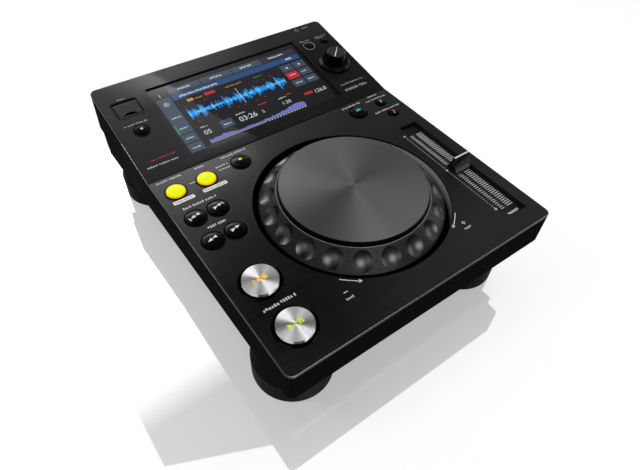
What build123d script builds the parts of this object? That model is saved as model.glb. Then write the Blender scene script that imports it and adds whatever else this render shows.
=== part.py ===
"""A table-top DJ media player: a low black deck with a jog wheel and a tilted touch screen.

Millimetres. X runs to the right, Y to the back and Z up. The origin is on the table,
under the middle of the player's plan.
"""

import os
from collections import namedtuple
from math import cos, radians, sin, sqrt, tan

from build123d import *

# Plan of the deck, from the left side to the right
COLUMN_INSET = 13.3
PAIR_GAP = 1.3
PAIR_TO_JOG = 12.8
JOG_RECESS_R = 71.0
JOG_TO_TEMPO = 19.15
TEMPO_INSET = 18.85

# Plan of the deck, from the front edge to the back
FRONT_BAND = 19.5
BACK_BAND = 21.4
PANEL_LENGTH = 106.5
PANEL_TILT = 9.7
REAR_LEAN = 6.1
JACK_RECESS = 12.0

# Heights, from the table up
FOOT_H = 31.0
PAN_DEPTH = 21.0
FRONT_WALL = 27.0
SKIRT_DROP = 14.0

# Sheets and walls
SKIN_T = 1.5
WALL = 2.5
PAN_T = 1.5
BOARD_T = 1.6
CORNER_R = 5.0
EDGE_CHAMFER = 0.5
PAN_INSET = 9.0
PAN_LAP = 1.0

# Clearances
FIT = 0.1
RUN = 0.05
GAP = 0.3
CAP_GAP = 0.3
SEAM = 0.2
MARGIN = 1.0

# Feet
FOOT_R = 29.4
FOOT_SHOULDER = 5.4
FOOT_SIDE_H = 20.0
FOOT_SIDE_INSET = 29.9
FOOT_FRONT_INSET = 41.5
FOOT_REAR_INSET = 31.4
PAD_INSET = 2.9
PAD_HOLE_R = 9.0
PAD_T = 2.0
PAD_PROUD = 1.0
FOOT_RIM = 0.8
FOOT_FLOOR = 8.0
FOOT_BOSS_R = 5.0
FOOT_BOSS_H = 6.0

# Screws: shank radius, head radius, head height
FOOT_SCREW = (2.0, 3.6, 2.4)
CASE_SCREW = (1.5, 2.8, 1.8)
BOARD_SCREW = (1.2, 2.2, 1.4)
POST_R = 4.0
POST_OUTSET = 12.0
FRONT_POST_ANGLE = 55.0
REAR_POST_STEP = 15.4
BOSS_R = 2.5
CASE_SCREW_BITE = 10.0
BOARD_SCREW_BITE = 4.0

# Push buttons
BIG_CAP_R = 11.7
SMALL_CAP_R = 6.9
STOP_CAP_R = 5.3
BACK_CAP_R = 4.5
TEMPO_CAP_R = 3.8
TAG_CAP_R = 2.7
BIG_LIP = 2.6
SMALL_LIP = 1.2
BEZEL_WALL = 0.5
LIP_H = 0.5
CAP_FLANGE = 0.9
CAP_FLANGE_T = 1.2
STEM_R = 2.0
PRESS = 0.5
DECK_BOARD_DROP = 13.0
PANEL_BOARD_DROP = 20.0
SWITCH_SIDE = 6.0
SWITCH_H = 3.5
PLUNGER_R = 1.6
PLUNGER_H = 1.2

# Where the deck buttons lie, from the crease, the front edge or the sides
LOOP_ROW = 18.0
LOOP_STEP = 24.2
RELOOP_STEP = 30.0
RELOOP_ROW = 15.3
TRACK_ROW = 48.4
SEARCH_ROW = 72.9
CUE_INSET = 21.7
CUE_ROW = 64.5
PLAY_ROW = 26.1
VINYL_INSET = 41.9
VINYL_ROW = 15.0
TEMPO_BUTTON_INSET = 16.9
RANGE_ROW = 14.2
MASTER_STEP = 16.9

# Where the panel's controls lie, from the crease up the slope and from the sides
LID_INSET = 18.7
LID_SLOPE = 76.6
STOP_SLOPE = 49.7
BACK_STEP = 11.2
BACK_SLOPE = 77.6
TAG_INSET = 11.5
KNOB_INSET = 21.5
KNOB_SLOPE = 47.7
BOARD_EDGE = 9.0

# Touch screen
SCREEN_LEFT_BAND = 39.3
SCREEN_RIGHT_BAND = 40.3
SCREEN_FRONT_BAND = 11.4
SCREEN_BACK_BAND = 17.1
GLASS_LAP = 2.0
GLASS_T = 1.8
LCD_T = 5.0
LCD_INSET = 1.0
BRACKET_T = 1.0
BRACKET_BOSS_X = 60.0
BRACKET_RIM = 4.0
BRACKET_WINDOW_RIM = 16.0

# Jog wheel
WELL_WALL = 2.0
WELL_FLANGE = 2.5
WELL_FLANGE_T = 2.0
WELL_DEPTH = 10.0
WELL_FLOOR_T = 2.0
RING_MOAT = 4.2
RING_SHOULDER_DROP = 2.3
RING_FLOOR_GAP = 1.5
RING_SKIRT_T = 3.0
CONE_RUN = 12.4
CONE_RISE = 12.1
RING_EDGE_W = 1.1
RING_WEB_T = 2.0
RING_WEB_DROP = 3.0
PLATE_STEP = 3.4
PLATE_T = 1.6
PLATE_RIM_W = 4.3
PLATE_RIM_H = 4.6
PLATE_GAP = 0.5
PLATE_PRESS = 0.5
DIMPLES = 20
DIMPLE_R = 7.4
DIMPLE_DEPTH = 2.6
DIMPLE_ANGLE = 4.0
SPINDLE_R = 4.0
SPINDLE_FLANGE_R = 12.0
SPINDLE_FLANGE_T = 1.5
SPINDLE_STUB_R = 6.0
BEARING_WALL = 3.0
BEARING_L = 12.5
HUB_WALL = 2.0
HUB_SHOULDER = 2.0
DISC_R = 30.0
DISC_T = 0.8
DISC_LIFT = 3.6
DISC_SLOTS = 36
DISC_SLOT = (0.9, 5.0)
SENSOR_W = 10.0
SENSOR_LAP = 4.5
SENSOR_BACK = 4.0
SENSOR_ARM = 0.9
SENSOR_SLOT_GAP = 0.7
AXLE_HEAD_R = 6.0
AXLE_HEAD_T = 1.5

# Tempo slider
TROUGH_W = 17.0
TROUGH_FRONT_BAND = 14.5
TROUGH_TO_MASTER = 19.3
TROUGH_DEPTH = 4.0
TROUGH_WALL = 1.0
TROUGH_FLOOR_T = 1.2
TROUGH_FLANGE = 2.0
TEMPO_END = 5.5
LEVER_W = 1.4
LEVER_L = 4.0
LEVER_RISE = 5.0
SLOT_GAP = 0.6
FADER_W = 13.0
FADER_DEPTH = 9.0
FADER_WALL = 0.8
FADER_END = 8.0
CARRIAGE_L = 8.0
CARRIAGE_H = 3.0
KNOB_W = 15.0
KNOB_L = 11.0
KNOB_FOOT_H = 2.6
KNOB_RIDGE_L = 3.0
KNOB_RISE = 9.9
KNOB_RIDGE_H = 1.0
KNOB_BOW = 1.1

# Selector
COLLAR_R = 14.2
COLLAR_H = 4.0
COLLAR_TOP_R = 12.2
SELECTOR_R = 9.2
SELECTOR_TOP_R = 8.4
SELECTOR_RISE = 12.4
SELECTOR_FLOAT = 0.9
SELECTOR_PRESS = 0.6
SELECTOR_CAP_T = 2.5
SELECTOR_EDGE = 1.0
SHAFT_R = 3.0
BUSHING_WALL = 1.0
BUSHING_DROP = 0.5
ENCODER_SIDE = 12.0
ENCODER_H = 8.0
ENCODER_LID = 1.2
ROTOR_R = 4.6
ROTOR_T = 2.6
SHAFT_POCKET = 1.2

# USB lid and socket
LID_W = 18.6
LID_L = 15.7
LID_GAP = 0.4
LID_T = 1.35
LID_LEDGE = 1.0
LID_PIN_R = 0.8
LID_PIN_BITE = 1.5
LID_NOTCH_R = 7.0
LID_NOTCH_OUT = 4.0
USB_W = 13.2
USB_L = 5.8
USB_WALL = 0.35
USB_MOUTH_DROP = 7.8
USB_FROM_FRONT = 5.6
USB_TONGUE_W = 11.1
USB_TONGUE_T = 1.8
USB_TONGUE_BACK = 1.0
USB_TONGUE_DROP = 1.5

# Rear sockets, left to right as X grows, and the boards behind them
PANEL_SHEET_T = 1.2
PANEL_MARGIN = 3.0
PANEL_SIDE = 12.0
WINDOW_SIDE = 16.0
SOCKET_SET_BACK = 1.0
INLET_INSET = 19.0
POWER_STEP = 24.0
LAN_STEP = 28.0
USB_B_STEP = 32.0
AUDIO_INSET = 35.0
AUDIO_PITCH = 16.0
INLET_W = 20.0
INLET_H = 12.0
INLET_L = 18.0
INLET_FLANGE = 2.0
INLET_FLANGE_RISE = 0.5
INLET_FLANGE_T = 1.5
INLET_LOBE_R = 3.9
INLET_PITCH = 8.6
INLET_DEPTH = 12.0
INLET_PIN_R = 1.2
INLET_PIN_L = 9.0
POWER_W = 9.0
POWER_H = 6.0
POWER_PROUD = 3.0
POWER_PRESS = 1.5
POWER_STEM = 4.0
POWER_ROUND = 1.0
SWITCH_W = 13.0
SWITCH_L = 14.0
SWITCH_T = 11.0
LAN_W = 16.0
LAN_H = 13.5
LAN_L = 21.0
LAN_HOLE_W = 11.8
LAN_HOLE_H = 8.2
LAN_HOLE_L = 14.0
LAN_SILL = 2.2
JACK_HEADROOM = 2.0
USB_B_W = 12.0
USB_B_H = 10.9
USB_B_L = 16.0
USB_B_HOLE = 8.0
USB_B_TONGUE = (5.6, 3.2)
USB_B_DEPTH = 9.0
AUDIO_R = 4.15
AUDIO_NECK_R = 3.6
AUDIO_DISH = 1.0
AUDIO_BARREL_L = 9.5
AUDIO_BARREL_WALL = 0.6
AUDIO_PIN_R = 1.65
AUDIO_PIN_L = 8.0
AUDIO_BODY = 10.0
AUDIO_BODY_L = 12.0
BOARD_FRONT_GAP = 4.0
BOARD_BACK_GAP = 2.5
BOARD_LENGTH = 95.0
BOARD_SPLIT_STEP = 24.0
BOARD_SIDE_GAP = 6.0
STANDOFF_R = 3.0
STANDOFF_INSET = 5.0
TRANSFORMER = (30.0, 26.0, 20.0)
CAPACITOR_R = 8.0
CAPACITOR_H = 18.0
CHIP = (22.0, 22.0, 2.0)
VENT = (26.0, 3.0)
VENT_PITCH = 8.0
VENT_ROWS = 8

# Levels and plan positions that follow from the sizes above
TILT = radians(PANEL_TILT)
DECK_Z = FOOT_H + PAN_DEPTH + FRONT_WALL
SKIRT_FRONT_Z = FOOT_H + PAN_DEPTH
SKIRT_REAR_Z = SKIRT_FRONT_Z - SKIRT_DROP
TOP_T = SKIN_T + WALL
PAIR_PITCH = 2 * (SMALL_CAP_R + CAP_FLANGE) + PAIR_GAP
WIDTH = COLUMN_INSET + PAIR_PITCH + PAIR_TO_JOG + 2 * JOG_RECESS_R + JOG_TO_TEMPO + TEMPO_INSET
DEPTH = FRONT_BAND + 2 * JOG_RECESS_R + BACK_BAND + PANEL_LENGTH * cos(TILT) + REAR_LEAN
LEFT, RIGHT = -WIDTH / 2, WIDTH / 2
FRONT, BACK = -DEPTH / 2, DEPTH / 2
JOG_X = LEFT + COLUMN_INSET + PAIR_PITCH + PAIR_TO_JOG + JOG_RECESS_R
JOG_Y = FRONT + FRONT_BAND + JOG_RECESS_R
CREASE_Y = JOG_Y + JOG_RECESS_R + BACK_BAND
JACK_Y = BACK - JACK_RECESS
PAN_FRONT, PAN_BACK = FRONT + PAN_INSET, JACK_Y - PAN_INSET
PAN_HALF = WIDTH / 2 - PAN_INSET
PAN_FLOOR = FOOT_H + PAN_T
SCREEN_W = WIDTH - SCREEN_LEFT_BAND - SCREEN_RIGHT_BAND
SCREEN_L = PANEL_LENGTH - SCREEN_FRONT_BAND - SCREEN_BACK_BAND
SCREEN_SHIFT = (SCREEN_LEFT_BAND - SCREEN_RIGHT_BAND) / 2
SCREEN_SLOPE = SCREEN_FRONT_BAND + SCREEN_L / 2


def skirt_z(y):
    """Height of the case's sloping lower edge at the depth y."""
    return SKIRT_FRONT_Z - SKIRT_DROP * (y - FRONT) / (JACK_Y - FRONT)


BOARD_Z = skirt_z(PAN_BACK) + WALL + PAN_LAP + GAP
LIP_Z = BOARD_Z + LAN_H + JACK_HEADROOM + WALL


def on_panel(slope, height):
    """Side view (y, z) of a point up the panel's slope and above its face."""
    y = CREASE_Y + slope * cos(TILT) - height * sin(TILT)
    z = DECK_Z + slope * sin(TILT) + height * cos(TILT)
    return y, z


DECK = Plane((0, 0, DECK_Z))
PANEL = Plane((0, CREASE_Y, DECK_Z), x_dir=(1, 0, 0), z_dir=(0, -sin(TILT), cos(TILT)))
TABLE = Plane.XY


def side_plane(x):
    """Plane across the player at x, drawn on in (y, z)."""
    return Plane.YZ.offset(x)


def turning_plane(plane, x, y):
    """Plane through a turned part's axis, drawn on in (radius, height)."""
    centre = plane.from_local_coords((x, y, 0))
    return Plane(centre, x_dir=plane.x_dir, z_dir=-plane.y_dir)


def turning_axis(plane, x, y):
    """Axis square to the plane through its point (x, y)."""
    return Axis(plane.from_local_coords((x, y, 0)), plane.z_dir)


def save(piece, name):
    """Label the piece and write it as its own file."""
    piece.part.label = name
    export_step(piece.part, f"parts/{name}.step")


os.makedirs("parts", exist_ok=True)

# Push buttons: plane, board depth, place on the plane, cap radius, lip width, edge and crown rise
Button = namedtuple("Button", "name plane drop x y cap_r lip edge crown")
SMALL_TOP = (1.0, 2.5)
BIG_TOP = (2.7, 3.1)
TINY_TOP = (0.8, 1.5)
COLUMN_X = LEFT + COLUMN_INSET
PAIR_X = COLUMN_X + PAIR_PITCH
CUE_X = LEFT + CUE_INSET
TEMPO_X = RIGHT - TEMPO_INSET
LID_X = LEFT + LID_INSET
KNOB_X = RIGHT - KNOB_INSET


def deck_button(name, x, y, cap_r, lip, top):
    return Button(name, DECK, DECK_BOARD_DROP, x, y, cap_r, lip, *top)


def panel_button(name, x, slope, cap_r, top):
    return Button(name, PANEL, PANEL_BOARD_DROP, x, slope, cap_r, SMALL_LIP, *top)


def small_button(name, x, y):
    return deck_button(name, x, y, SMALL_CAP_R, SMALL_LIP, SMALL_TOP)


LOOP_Y = CREASE_Y - LOOP_ROW
TRACK_Y = CREASE_Y - TRACK_ROW
SEARCH_Y = CREASE_Y - SEARCH_ROW
CUE_Y = FRONT + CUE_ROW
PLAY_Y = FRONT + PLAY_ROW
LOOP_OUT_X = COLUMN_X + LOOP_STEP
RELOOP_X = LOOP_OUT_X + RELOOP_STEP
VINYL_X = RIGHT - VINYL_INSET
TEMPO_BUTTON_X = RIGHT - TEMPO_BUTTON_INSET
RANGE_Y = CREASE_Y - RANGE_ROW
MASTER_Y = RANGE_Y - MASTER_STEP
TROUGH_FRONT, TROUGH_BACK = FRONT + TROUGH_FRONT_BAND, MASTER_Y - TROUGH_TO_MASTER
TROUGH_L = TROUGH_BACK - TROUGH_FRONT
TEMPO_Y = (TROUGH_FRONT + TROUGH_BACK) / 2
TEMPO_TRAVEL = (TROUGH_L - KNOB_L) / 2 - TEMPO_END
BACK_X = RIGHT - SCREEN_RIGHT_BAND + BACK_STEP
TAG_X = RIGHT - TAG_INSET

BUTTONS = [
    small_button("loop_in_button", COLUMN_X, LOOP_Y),
    small_button("loop_out_button", LOOP_OUT_X, LOOP_Y),
    small_button("reloop_button", RELOOP_X, CREASE_Y - RELOOP_ROW),
    small_button("track_back_button", COLUMN_X, TRACK_Y),
    small_button("track_forward_button", PAIR_X, TRACK_Y),
    small_button("search_back_button", COLUMN_X, SEARCH_Y),
    small_button("search_forward_button", PAIR_X, SEARCH_Y),
    deck_button("cue_button", CUE_X, CUE_Y, BIG_CAP_R, BIG_LIP, BIG_TOP),
    deck_button("play_button", CUE_X, PLAY_Y, BIG_CAP_R, BIG_LIP, BIG_TOP),
    small_button("jog_mode_button", VINYL_X, CREASE_Y - VINYL_ROW),
    deck_button("tempo_range_button", TEMPO_BUTTON_X, RANGE_Y, TEMPO_CAP_R, SMALL_LIP, TINY_TOP),
    deck_button("master_tempo_button", TEMPO_BUTTON_X, MASTER_Y, TEMPO_CAP_R, SMALL_LIP, TINY_TOP),
    panel_button("usb_stop_button", LID_X, STOP_SLOPE, STOP_CAP_R, SMALL_TOP),
    panel_button("back_button", BACK_X, BACK_SLOPE, BACK_CAP_R, TINY_TOP),
    panel_button("tag_button", TAG_X, BACK_SLOPE, TAG_CAP_R, TINY_TOP),
]


def bezel_inner(button):
    return button.cap_r + CAP_GAP


def bezel_outer(button):
    return bezel_inner(button) + BEZEL_WALL


def hole_circles(plane):
    """Draw the bezel holes of every button on the plane."""
    for button in BUTTONS:
        if button.plane is plane:
            with Locations((button.x, button.y)):
                Circle(bezel_outer(button) + FIT)


# Places where boards and the screen bracket are screwed to the case, as (plane, depth, points)
LEFT_BOSSES = [
    (CUE_X, (LOOP_Y + TRACK_Y) / 2),
    (CUE_X, (SEARCH_Y - SMALL_CAP_R + CUE_Y + BIG_CAP_R) / 2),
    (CUE_X, (CUE_Y + PLAY_Y) / 2),
    ((LOOP_OUT_X + RELOOP_X) / 2, LOOP_Y),
]
RIGHT_BOSSES = [
    ((VINYL_X + TEMPO_BUTTON_X) / 2, RANGE_Y),
    (TEMPO_BUTTON_X, (RANGE_Y + MASTER_Y) / 2),
]
LID_FRONT = LID_SLOPE - LID_L / 2 - LID_GAP
LID_BACK = LID_SLOPE + LID_L / 2 + LID_GAP
STOP_REACH = STOP_CAP_R + CAP_FLANGE + BOSS_R + MARGIN
PANEL_LEFT_BOSSES = [(LID_X, STOP_SLOPE + STOP_REACH), (LID_X, STOP_SLOPE - STOP_REACH)]
ENCODER_REACH = ENCODER_SIDE / 2 + BOSS_R + 2 * MARGIN
PANEL_RIGHT_BOSSES = [
    (KNOB_X, KNOB_SLOPE + ENCODER_REACH),
    (KNOB_X, KNOB_SLOPE - ENCODER_REACH),
]
GLASS_W = SCREEN_W + 2 * GLASS_LAP
GLASS_L = SCREEN_L + 2 * GLASS_LAP
BRACKET_DROP = SKIN_T + GLASS_T + LCD_T
BRACKET_SPAN = GLASS_L / 2 + GAP + BOSS_R + MARGIN
BRACKET_BOSSES = [
    (SCREEN_SHIFT + side * BRACKET_BOSS_X, SCREEN_SLOPE + end * BRACKET_SPAN)
    for side in (-1, 1)
    for end in (-1, 1)
]
CASE_BOSSES = [
    (DECK, DECK_BOARD_DROP, LEFT_BOSSES + RIGHT_BOSSES),
    (PANEL, PANEL_BOARD_DROP, PANEL_LEFT_BOSSES + PANEL_RIGHT_BOSSES),
    (PANEL, BRACKET_DROP, BRACKET_BOSSES),
]
POST_CIRCLE = JOG_RECESS_R + POST_OUTSET
REAR_POST_REACH = JOG_X - RELOOP_X - REAR_POST_STEP
REAR_POST_RISE = sqrt(POST_CIRCLE**2 - REAR_POST_REACH**2)
FRONT_POST_REACH = POST_CIRCLE * cos(radians(FRONT_POST_ANGLE))
FRONT_POST_DROP = POST_CIRCLE * sin(radians(FRONT_POST_ANGLE))
POSTS = [
    (JOG_X - REAR_POST_REACH, JOG_Y + REAR_POST_RISE),
    (JOG_X + REAR_POST_REACH, JOG_Y + REAR_POST_RISE),
    (JOG_X - FRONT_POST_REACH, JOG_Y - FRONT_POST_DROP),
    (JOG_X + FRONT_POST_REACH, JOG_Y - FRONT_POST_DROP),
]
FOOT_PLACES = {
    "foot_front_left": (LEFT + FOOT_SIDE_INSET, FRONT + FOOT_FRONT_INSET),
    "foot_front_right": (RIGHT - FOOT_SIDE_INSET, FRONT + FOOT_FRONT_INSET),
    "foot_rear_left": (LEFT + FOOT_SIDE_INSET, BACK - FOOT_REAR_INSET),
    "foot_rear_right": (RIGHT - FOOT_SIDE_INSET, BACK - FOOT_REAR_INSET),
}

# Main board on the right and power supply board on the left, standing in the pan
BOARD_BACK = PAN_BACK - PAN_T - BOARD_BACK_GAP
BOARD_FRONT = BOARD_BACK - BOARD_LENGTH
BOARD_OUTER = PAN_HALF - PAN_T - BOARD_SIDE_GAP
INLET_X = -BOARD_OUTER + INLET_INSET
POWER_X = INLET_X + POWER_STEP
BOARD_SPLIT = POWER_X + BOARD_SPLIT_STEP
AUDIO_X = BOARD_OUTER - AUDIO_INSET
USB_B_X = AUDIO_X - USB_B_STEP
LAN_X = USB_B_X - LAN_STEP
BOARDS = {
    "main_board": (BOARD_SPLIT + BOARD_FRONT_GAP / 2, BOARD_OUTER),
    "power_supply_board": (-BOARD_OUTER, BOARD_SPLIT - BOARD_FRONT_GAP / 2),
}


def standoff_points(board):
    """Corner screw places of a board in the pan."""
    low, high = BOARDS[board]
    return [
        (x, y)
        for x in (low + STANDOFF_INSET, high - STANDOFF_INSET)
        for y in (BOARD_FRONT + STANDOFF_INSET, BOARD_BACK - STANDOFF_INSET)
    ]


STANDOFFS = standoff_points("main_board") + standoff_points("power_supply_board")
STANDOFF_H = BOARD_Z - BOARD_T - PAN_FLOOR

# Rear window in the case and what fills it
WINDOW_LOW = BOARD_Z - GAP
WINDOW_HIGH = LIP_Z - WALL
SHEET_FRONT = JACK_Y - WALL - PANEL_SHEET_T
SOCKET_FACE = JACK_Y - SOCKET_SET_BACK
SOCKET_Z = BOARD_Z + LAN_H / 2
WELL_HOLE_R = JOG_RECESS_R + WELL_WALL + GAP
TROUGH_HOLE_W = TROUGH_W + 2 * (TROUGH_WALL + GAP)
TROUGH_HOLE_L = TROUGH_L + 2 * (TROUGH_WALL + GAP)
HINGE_DROP = SKIN_T + WALL / 2
HINGE_SLOPE = LID_BACK - LID_GAP - HINGE_DROP
LID_HOLE_W = LID_W + 2 * LID_GAP
LID_HOLE_L = LID_L + 2 * LID_GAP
BUSHING_R = SHAFT_R + RUN + BUSHING_WALL

# Upper case: moulded shell with walls, sloping lower shelf, bosses and screw posts
case_top_back = on_panel(PANEL_LENGTH, -SKIN_T)
case_outline = [
    (FRONT, DECK_Z - SKIN_T),
    (CREASE_Y + SKIN_T * tan(TILT / 2), DECK_Z - SKIN_T),
    case_top_back,
    (BACK, LIP_Z),
    (JACK_Y, LIP_Z),
    (JACK_Y, SKIRT_REAR_Z),
    (FRONT, SKIRT_FRONT_Z),
]
case_hollow = [
    (FRONT + WALL, DECK_Z - TOP_T),
    (CREASE_Y + TOP_T * tan(TILT / 2), DECK_Z - TOP_T),
    on_panel(PANEL_LENGTH - WALL, -TOP_T),
    (BACK - WALL, LIP_Z + WALL),
    (JACK_Y - WALL, LIP_Z + WALL),
    (JACK_Y - WALL, skirt_z(JACK_Y - WALL) + WALL),
    (FRONT + WALL, skirt_z(FRONT + WALL) + WALL),
]
with BuildPart() as upper_case:
    with BuildSketch(side_plane(LEFT)):
        with BuildLine():
            Polyline(*case_outline, close=True)
        make_face()
    extrude(amount=WIDTH)
    fillet(upper_case.edges().filter_by(Axis.Z).group_by(Axis.Y)[0], CORNER_R)
    fillet(upper_case.edges().filter_by(Axis.X, reverse=True).sort_by(Axis.Y)[-2:], CORNER_R)
    with BuildSketch(side_plane(LEFT + WALL)):
        with BuildLine():
            Polyline(*case_hollow, close=True)
        make_face()
    extrude(amount=WIDTH - 2 * WALL, mode=Mode.SUBTRACT)
    with BuildSketch(TABLE):
        with Locations((0, (PAN_FRONT + PAN_BACK) / 2)):
            Rectangle(2 * (PAN_HALF + GAP), PAN_BACK - PAN_FRONT + 2 * GAP)
    extrude(amount=SKIRT_FRONT_Z + WALL, mode=Mode.SUBTRACT)
    with BuildSketch(Plane.XZ.offset(-JACK_Y)):
        with Locations((0, (WINDOW_LOW + WINDOW_HIGH) / 2)):
            Rectangle(WIDTH - 2 * WINDOW_SIDE, WINDOW_HIGH - WINDOW_LOW)
    extrude(amount=WALL, mode=Mode.SUBTRACT)
    with BuildSketch(DECK):
        hole_circles(DECK)
        with Locations((JOG_X, JOG_Y)):
            Circle(WELL_HOLE_R)
        with Locations((TEMPO_X, TEMPO_Y)):
            Rectangle(TROUGH_HOLE_W, TROUGH_HOLE_L)
    extrude(amount=-TOP_T - MARGIN, mode=Mode.SUBTRACT)
    with BuildSketch(PANEL):
        hole_circles(PANEL)
        with Locations((SCREEN_SHIFT, SCREEN_SLOPE)):
            Rectangle(GLASS_W + 2 * GAP, GLASS_L + 2 * GAP)
        with Locations((KNOB_X, KNOB_SLOPE)):
            Circle(BUSHING_R + FIT)
        with Locations((LID_X, (LID_FRONT + LID_LEDGE + LID_BACK) / 2)):
            Rectangle(LID_HOLE_W - 2 * LID_LEDGE, LID_HOLE_L - LID_LEDGE)
        with Locations((LID_X, LID_BACK - HINGE_DROP - LID_GAP)):
            Rectangle(LID_HOLE_W, 2 * (HINGE_DROP + LID_GAP))
    extrude(amount=-TOP_T - MARGIN, mode=Mode.SUBTRACT)
    hinge_start = PANEL.from_local_coords(
        (LID_X - LID_HOLE_W / 2 - LID_PIN_BITE, HINGE_SLOPE, -HINGE_DROP)
    )
    with BuildSketch(Plane(hinge_start, x_dir=(0, 1, 0), z_dir=(1, 0, 0))):
        Circle(LID_PIN_R + FIT)
    extrude(amount=LID_HOLE_W + 2 * LID_PIN_BITE, mode=Mode.SUBTRACT)
    for plane, drop, points in CASE_BOSSES:
        with BuildSketch(plane.offset(-TOP_T)):
            with Locations(*points):
                Circle(BOSS_R)
        extrude(amount=TOP_T - drop)
        with BuildSketch(plane.offset(-drop)):
            with Locations(*points):
                Circle(BOARD_SCREW[0] + FIT)
        extrude(amount=BOARD_SCREW_BITE, mode=Mode.SUBTRACT)
    with BuildSketch(Plane.XY.offset(PAN_FLOOR)):
        with Locations(*POSTS):
            Circle(POST_R)
    extrude(amount=DECK_Z - TOP_T - PAN_FLOOR)
    with BuildSketch(Plane.XY.offset(PAN_FLOOR)):
        with Locations(*POSTS):
            Circle(CASE_SCREW[0] + FIT)
    extrude(amount=CASE_SCREW_BITE + GAP, mode=Mode.SUBTRACT)
save(upper_case, "upper_case")

# Deck plate: brushed sheet on the flat front part, with a chamfered edge
with BuildPart() as deck_plate:
    with BuildSketch(DECK):
        with Locations((0, (FRONT + CREASE_Y - SEAM) / 2)):
            Rectangle(WIDTH, CREASE_Y - SEAM - FRONT)
    extrude(amount=-SKIN_T)
    fillet(deck_plate.edges().filter_by(Axis.Z).group_by(Axis.Y)[0], CORNER_R)
    chamfer(deck_plate.faces().sort_by(Axis.Z)[-1].edges(), EDGE_CHAMFER)
    with BuildSketch(DECK):
        hole_circles(DECK)
        with Locations((JOG_X, JOG_Y)):
            Circle(JOG_RECESS_R)
        with Locations((TEMPO_X, TEMPO_Y)):
            Rectangle(TROUGH_W, TROUGH_L)
    extrude(amount=-SKIN_T, mode=Mode.SUBTRACT)
save(deck_plate, "deck_plate")

# Display panel: skin of the tilted rear part
with BuildPart() as display_panel:
    with BuildSketch(PANEL):
        with Locations((0, (SEAM + PANEL_LENGTH) / 2)):
            Rectangle(WIDTH, PANEL_LENGTH - SEAM)
    extrude(amount=-SKIN_T)
    fillet(display_panel.edges().filter_by(Axis((0, 0, 0), PANEL.z_dir)).group_by(Axis.Y)[-1], CORNER_R)
    chamfer(display_panel.faces().sort_by(Axis((0, 0, 0), PANEL.z_dir))[-1].edges(), EDGE_CHAMFER)
    with BuildSketch(PANEL):
        hole_circles(PANEL)
        with Locations((SCREEN_SHIFT, SCREEN_SLOPE)):
            Rectangle(SCREEN_W, SCREEN_L)
        with Locations((KNOB_X, KNOB_SLOPE)):
            Circle(BUSHING_R + FIT)
        with Locations((LID_X, LID_SLOPE)):
            Rectangle(LID_HOLE_W, LID_HOLE_L)
    extrude(amount=-SKIN_T, mode=Mode.SUBTRACT)
save(display_panel, "display_panel")

# Bottom pan: folded sheet tray with vents, board standoffs and foot bosses
pan_outline = [
    (PAN_FRONT, FOOT_H),
    (PAN_BACK, FOOT_H),
    (PAN_BACK, skirt_z(PAN_BACK) + WALL + PAN_LAP),
    (PAN_FRONT, skirt_z(PAN_FRONT) + WALL + PAN_LAP),
]
pan_hollow = [
    (PAN_FRONT + PAN_T, PAN_FLOOR),
    (PAN_BACK - PAN_T, PAN_FLOOR),
    (PAN_BACK - PAN_T, DECK_Z),
    (PAN_FRONT + PAN_T, DECK_Z),
]
with BuildPart() as bottom_pan:
    with BuildSketch(side_plane(-PAN_HALF)):
        with BuildLine():
            Polyline(*pan_outline, close=True)
        make_face()
    extrude(amount=2 * PAN_HALF)
    with BuildSketch(side_plane(-PAN_HALF + PAN_T)):
        with BuildLine():
            Polyline(*pan_hollow, close=True)
        make_face()
    extrude(amount=2 * (PAN_HALF - PAN_T), mode=Mode.SUBTRACT)
    with BuildSketch(Plane.XY.offset(PAN_FLOOR)):
        with Locations(*STANDOFFS):
            Circle(STANDOFF_R)
    extrude(amount=STANDOFF_H)
    with BuildSketch(Plane.XY.offset(PAN_FLOOR)):
        with Locations(*FOOT_PLACES.values()):
            Circle(FOOT_BOSS_R)
    extrude(amount=FOOT_BOSS_H)
    with BuildSketch(Plane.XY.offset(BOARD_Z - BOARD_T)):
        with Locations(*STANDOFFS):
            Circle(BOARD_SCREW[0] + FIT)
    extrude(amount=-BOARD_SCREW_BITE, mode=Mode.SUBTRACT)
    with BuildSketch(Plane.XY.offset(FOOT_H)):
        with Locations(*FOOT_PLACES.values()):
            Circle(FOOT_SCREW[0] + FIT)
        with Locations(*POSTS):
            Circle(CASE_SCREW[0] + FIT)
        with Locations((JOG_X, JOG_Y)):
            with GridLocations(VENT[0] + VENT_PITCH, VENT_PITCH, 2, VENT_ROWS):
                SlotOverall(*VENT)
    extrude(amount=PAN_T + FOOT_BOSS_H, mode=Mode.SUBTRACT)
save(bottom_pan, "bottom_pan")

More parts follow.
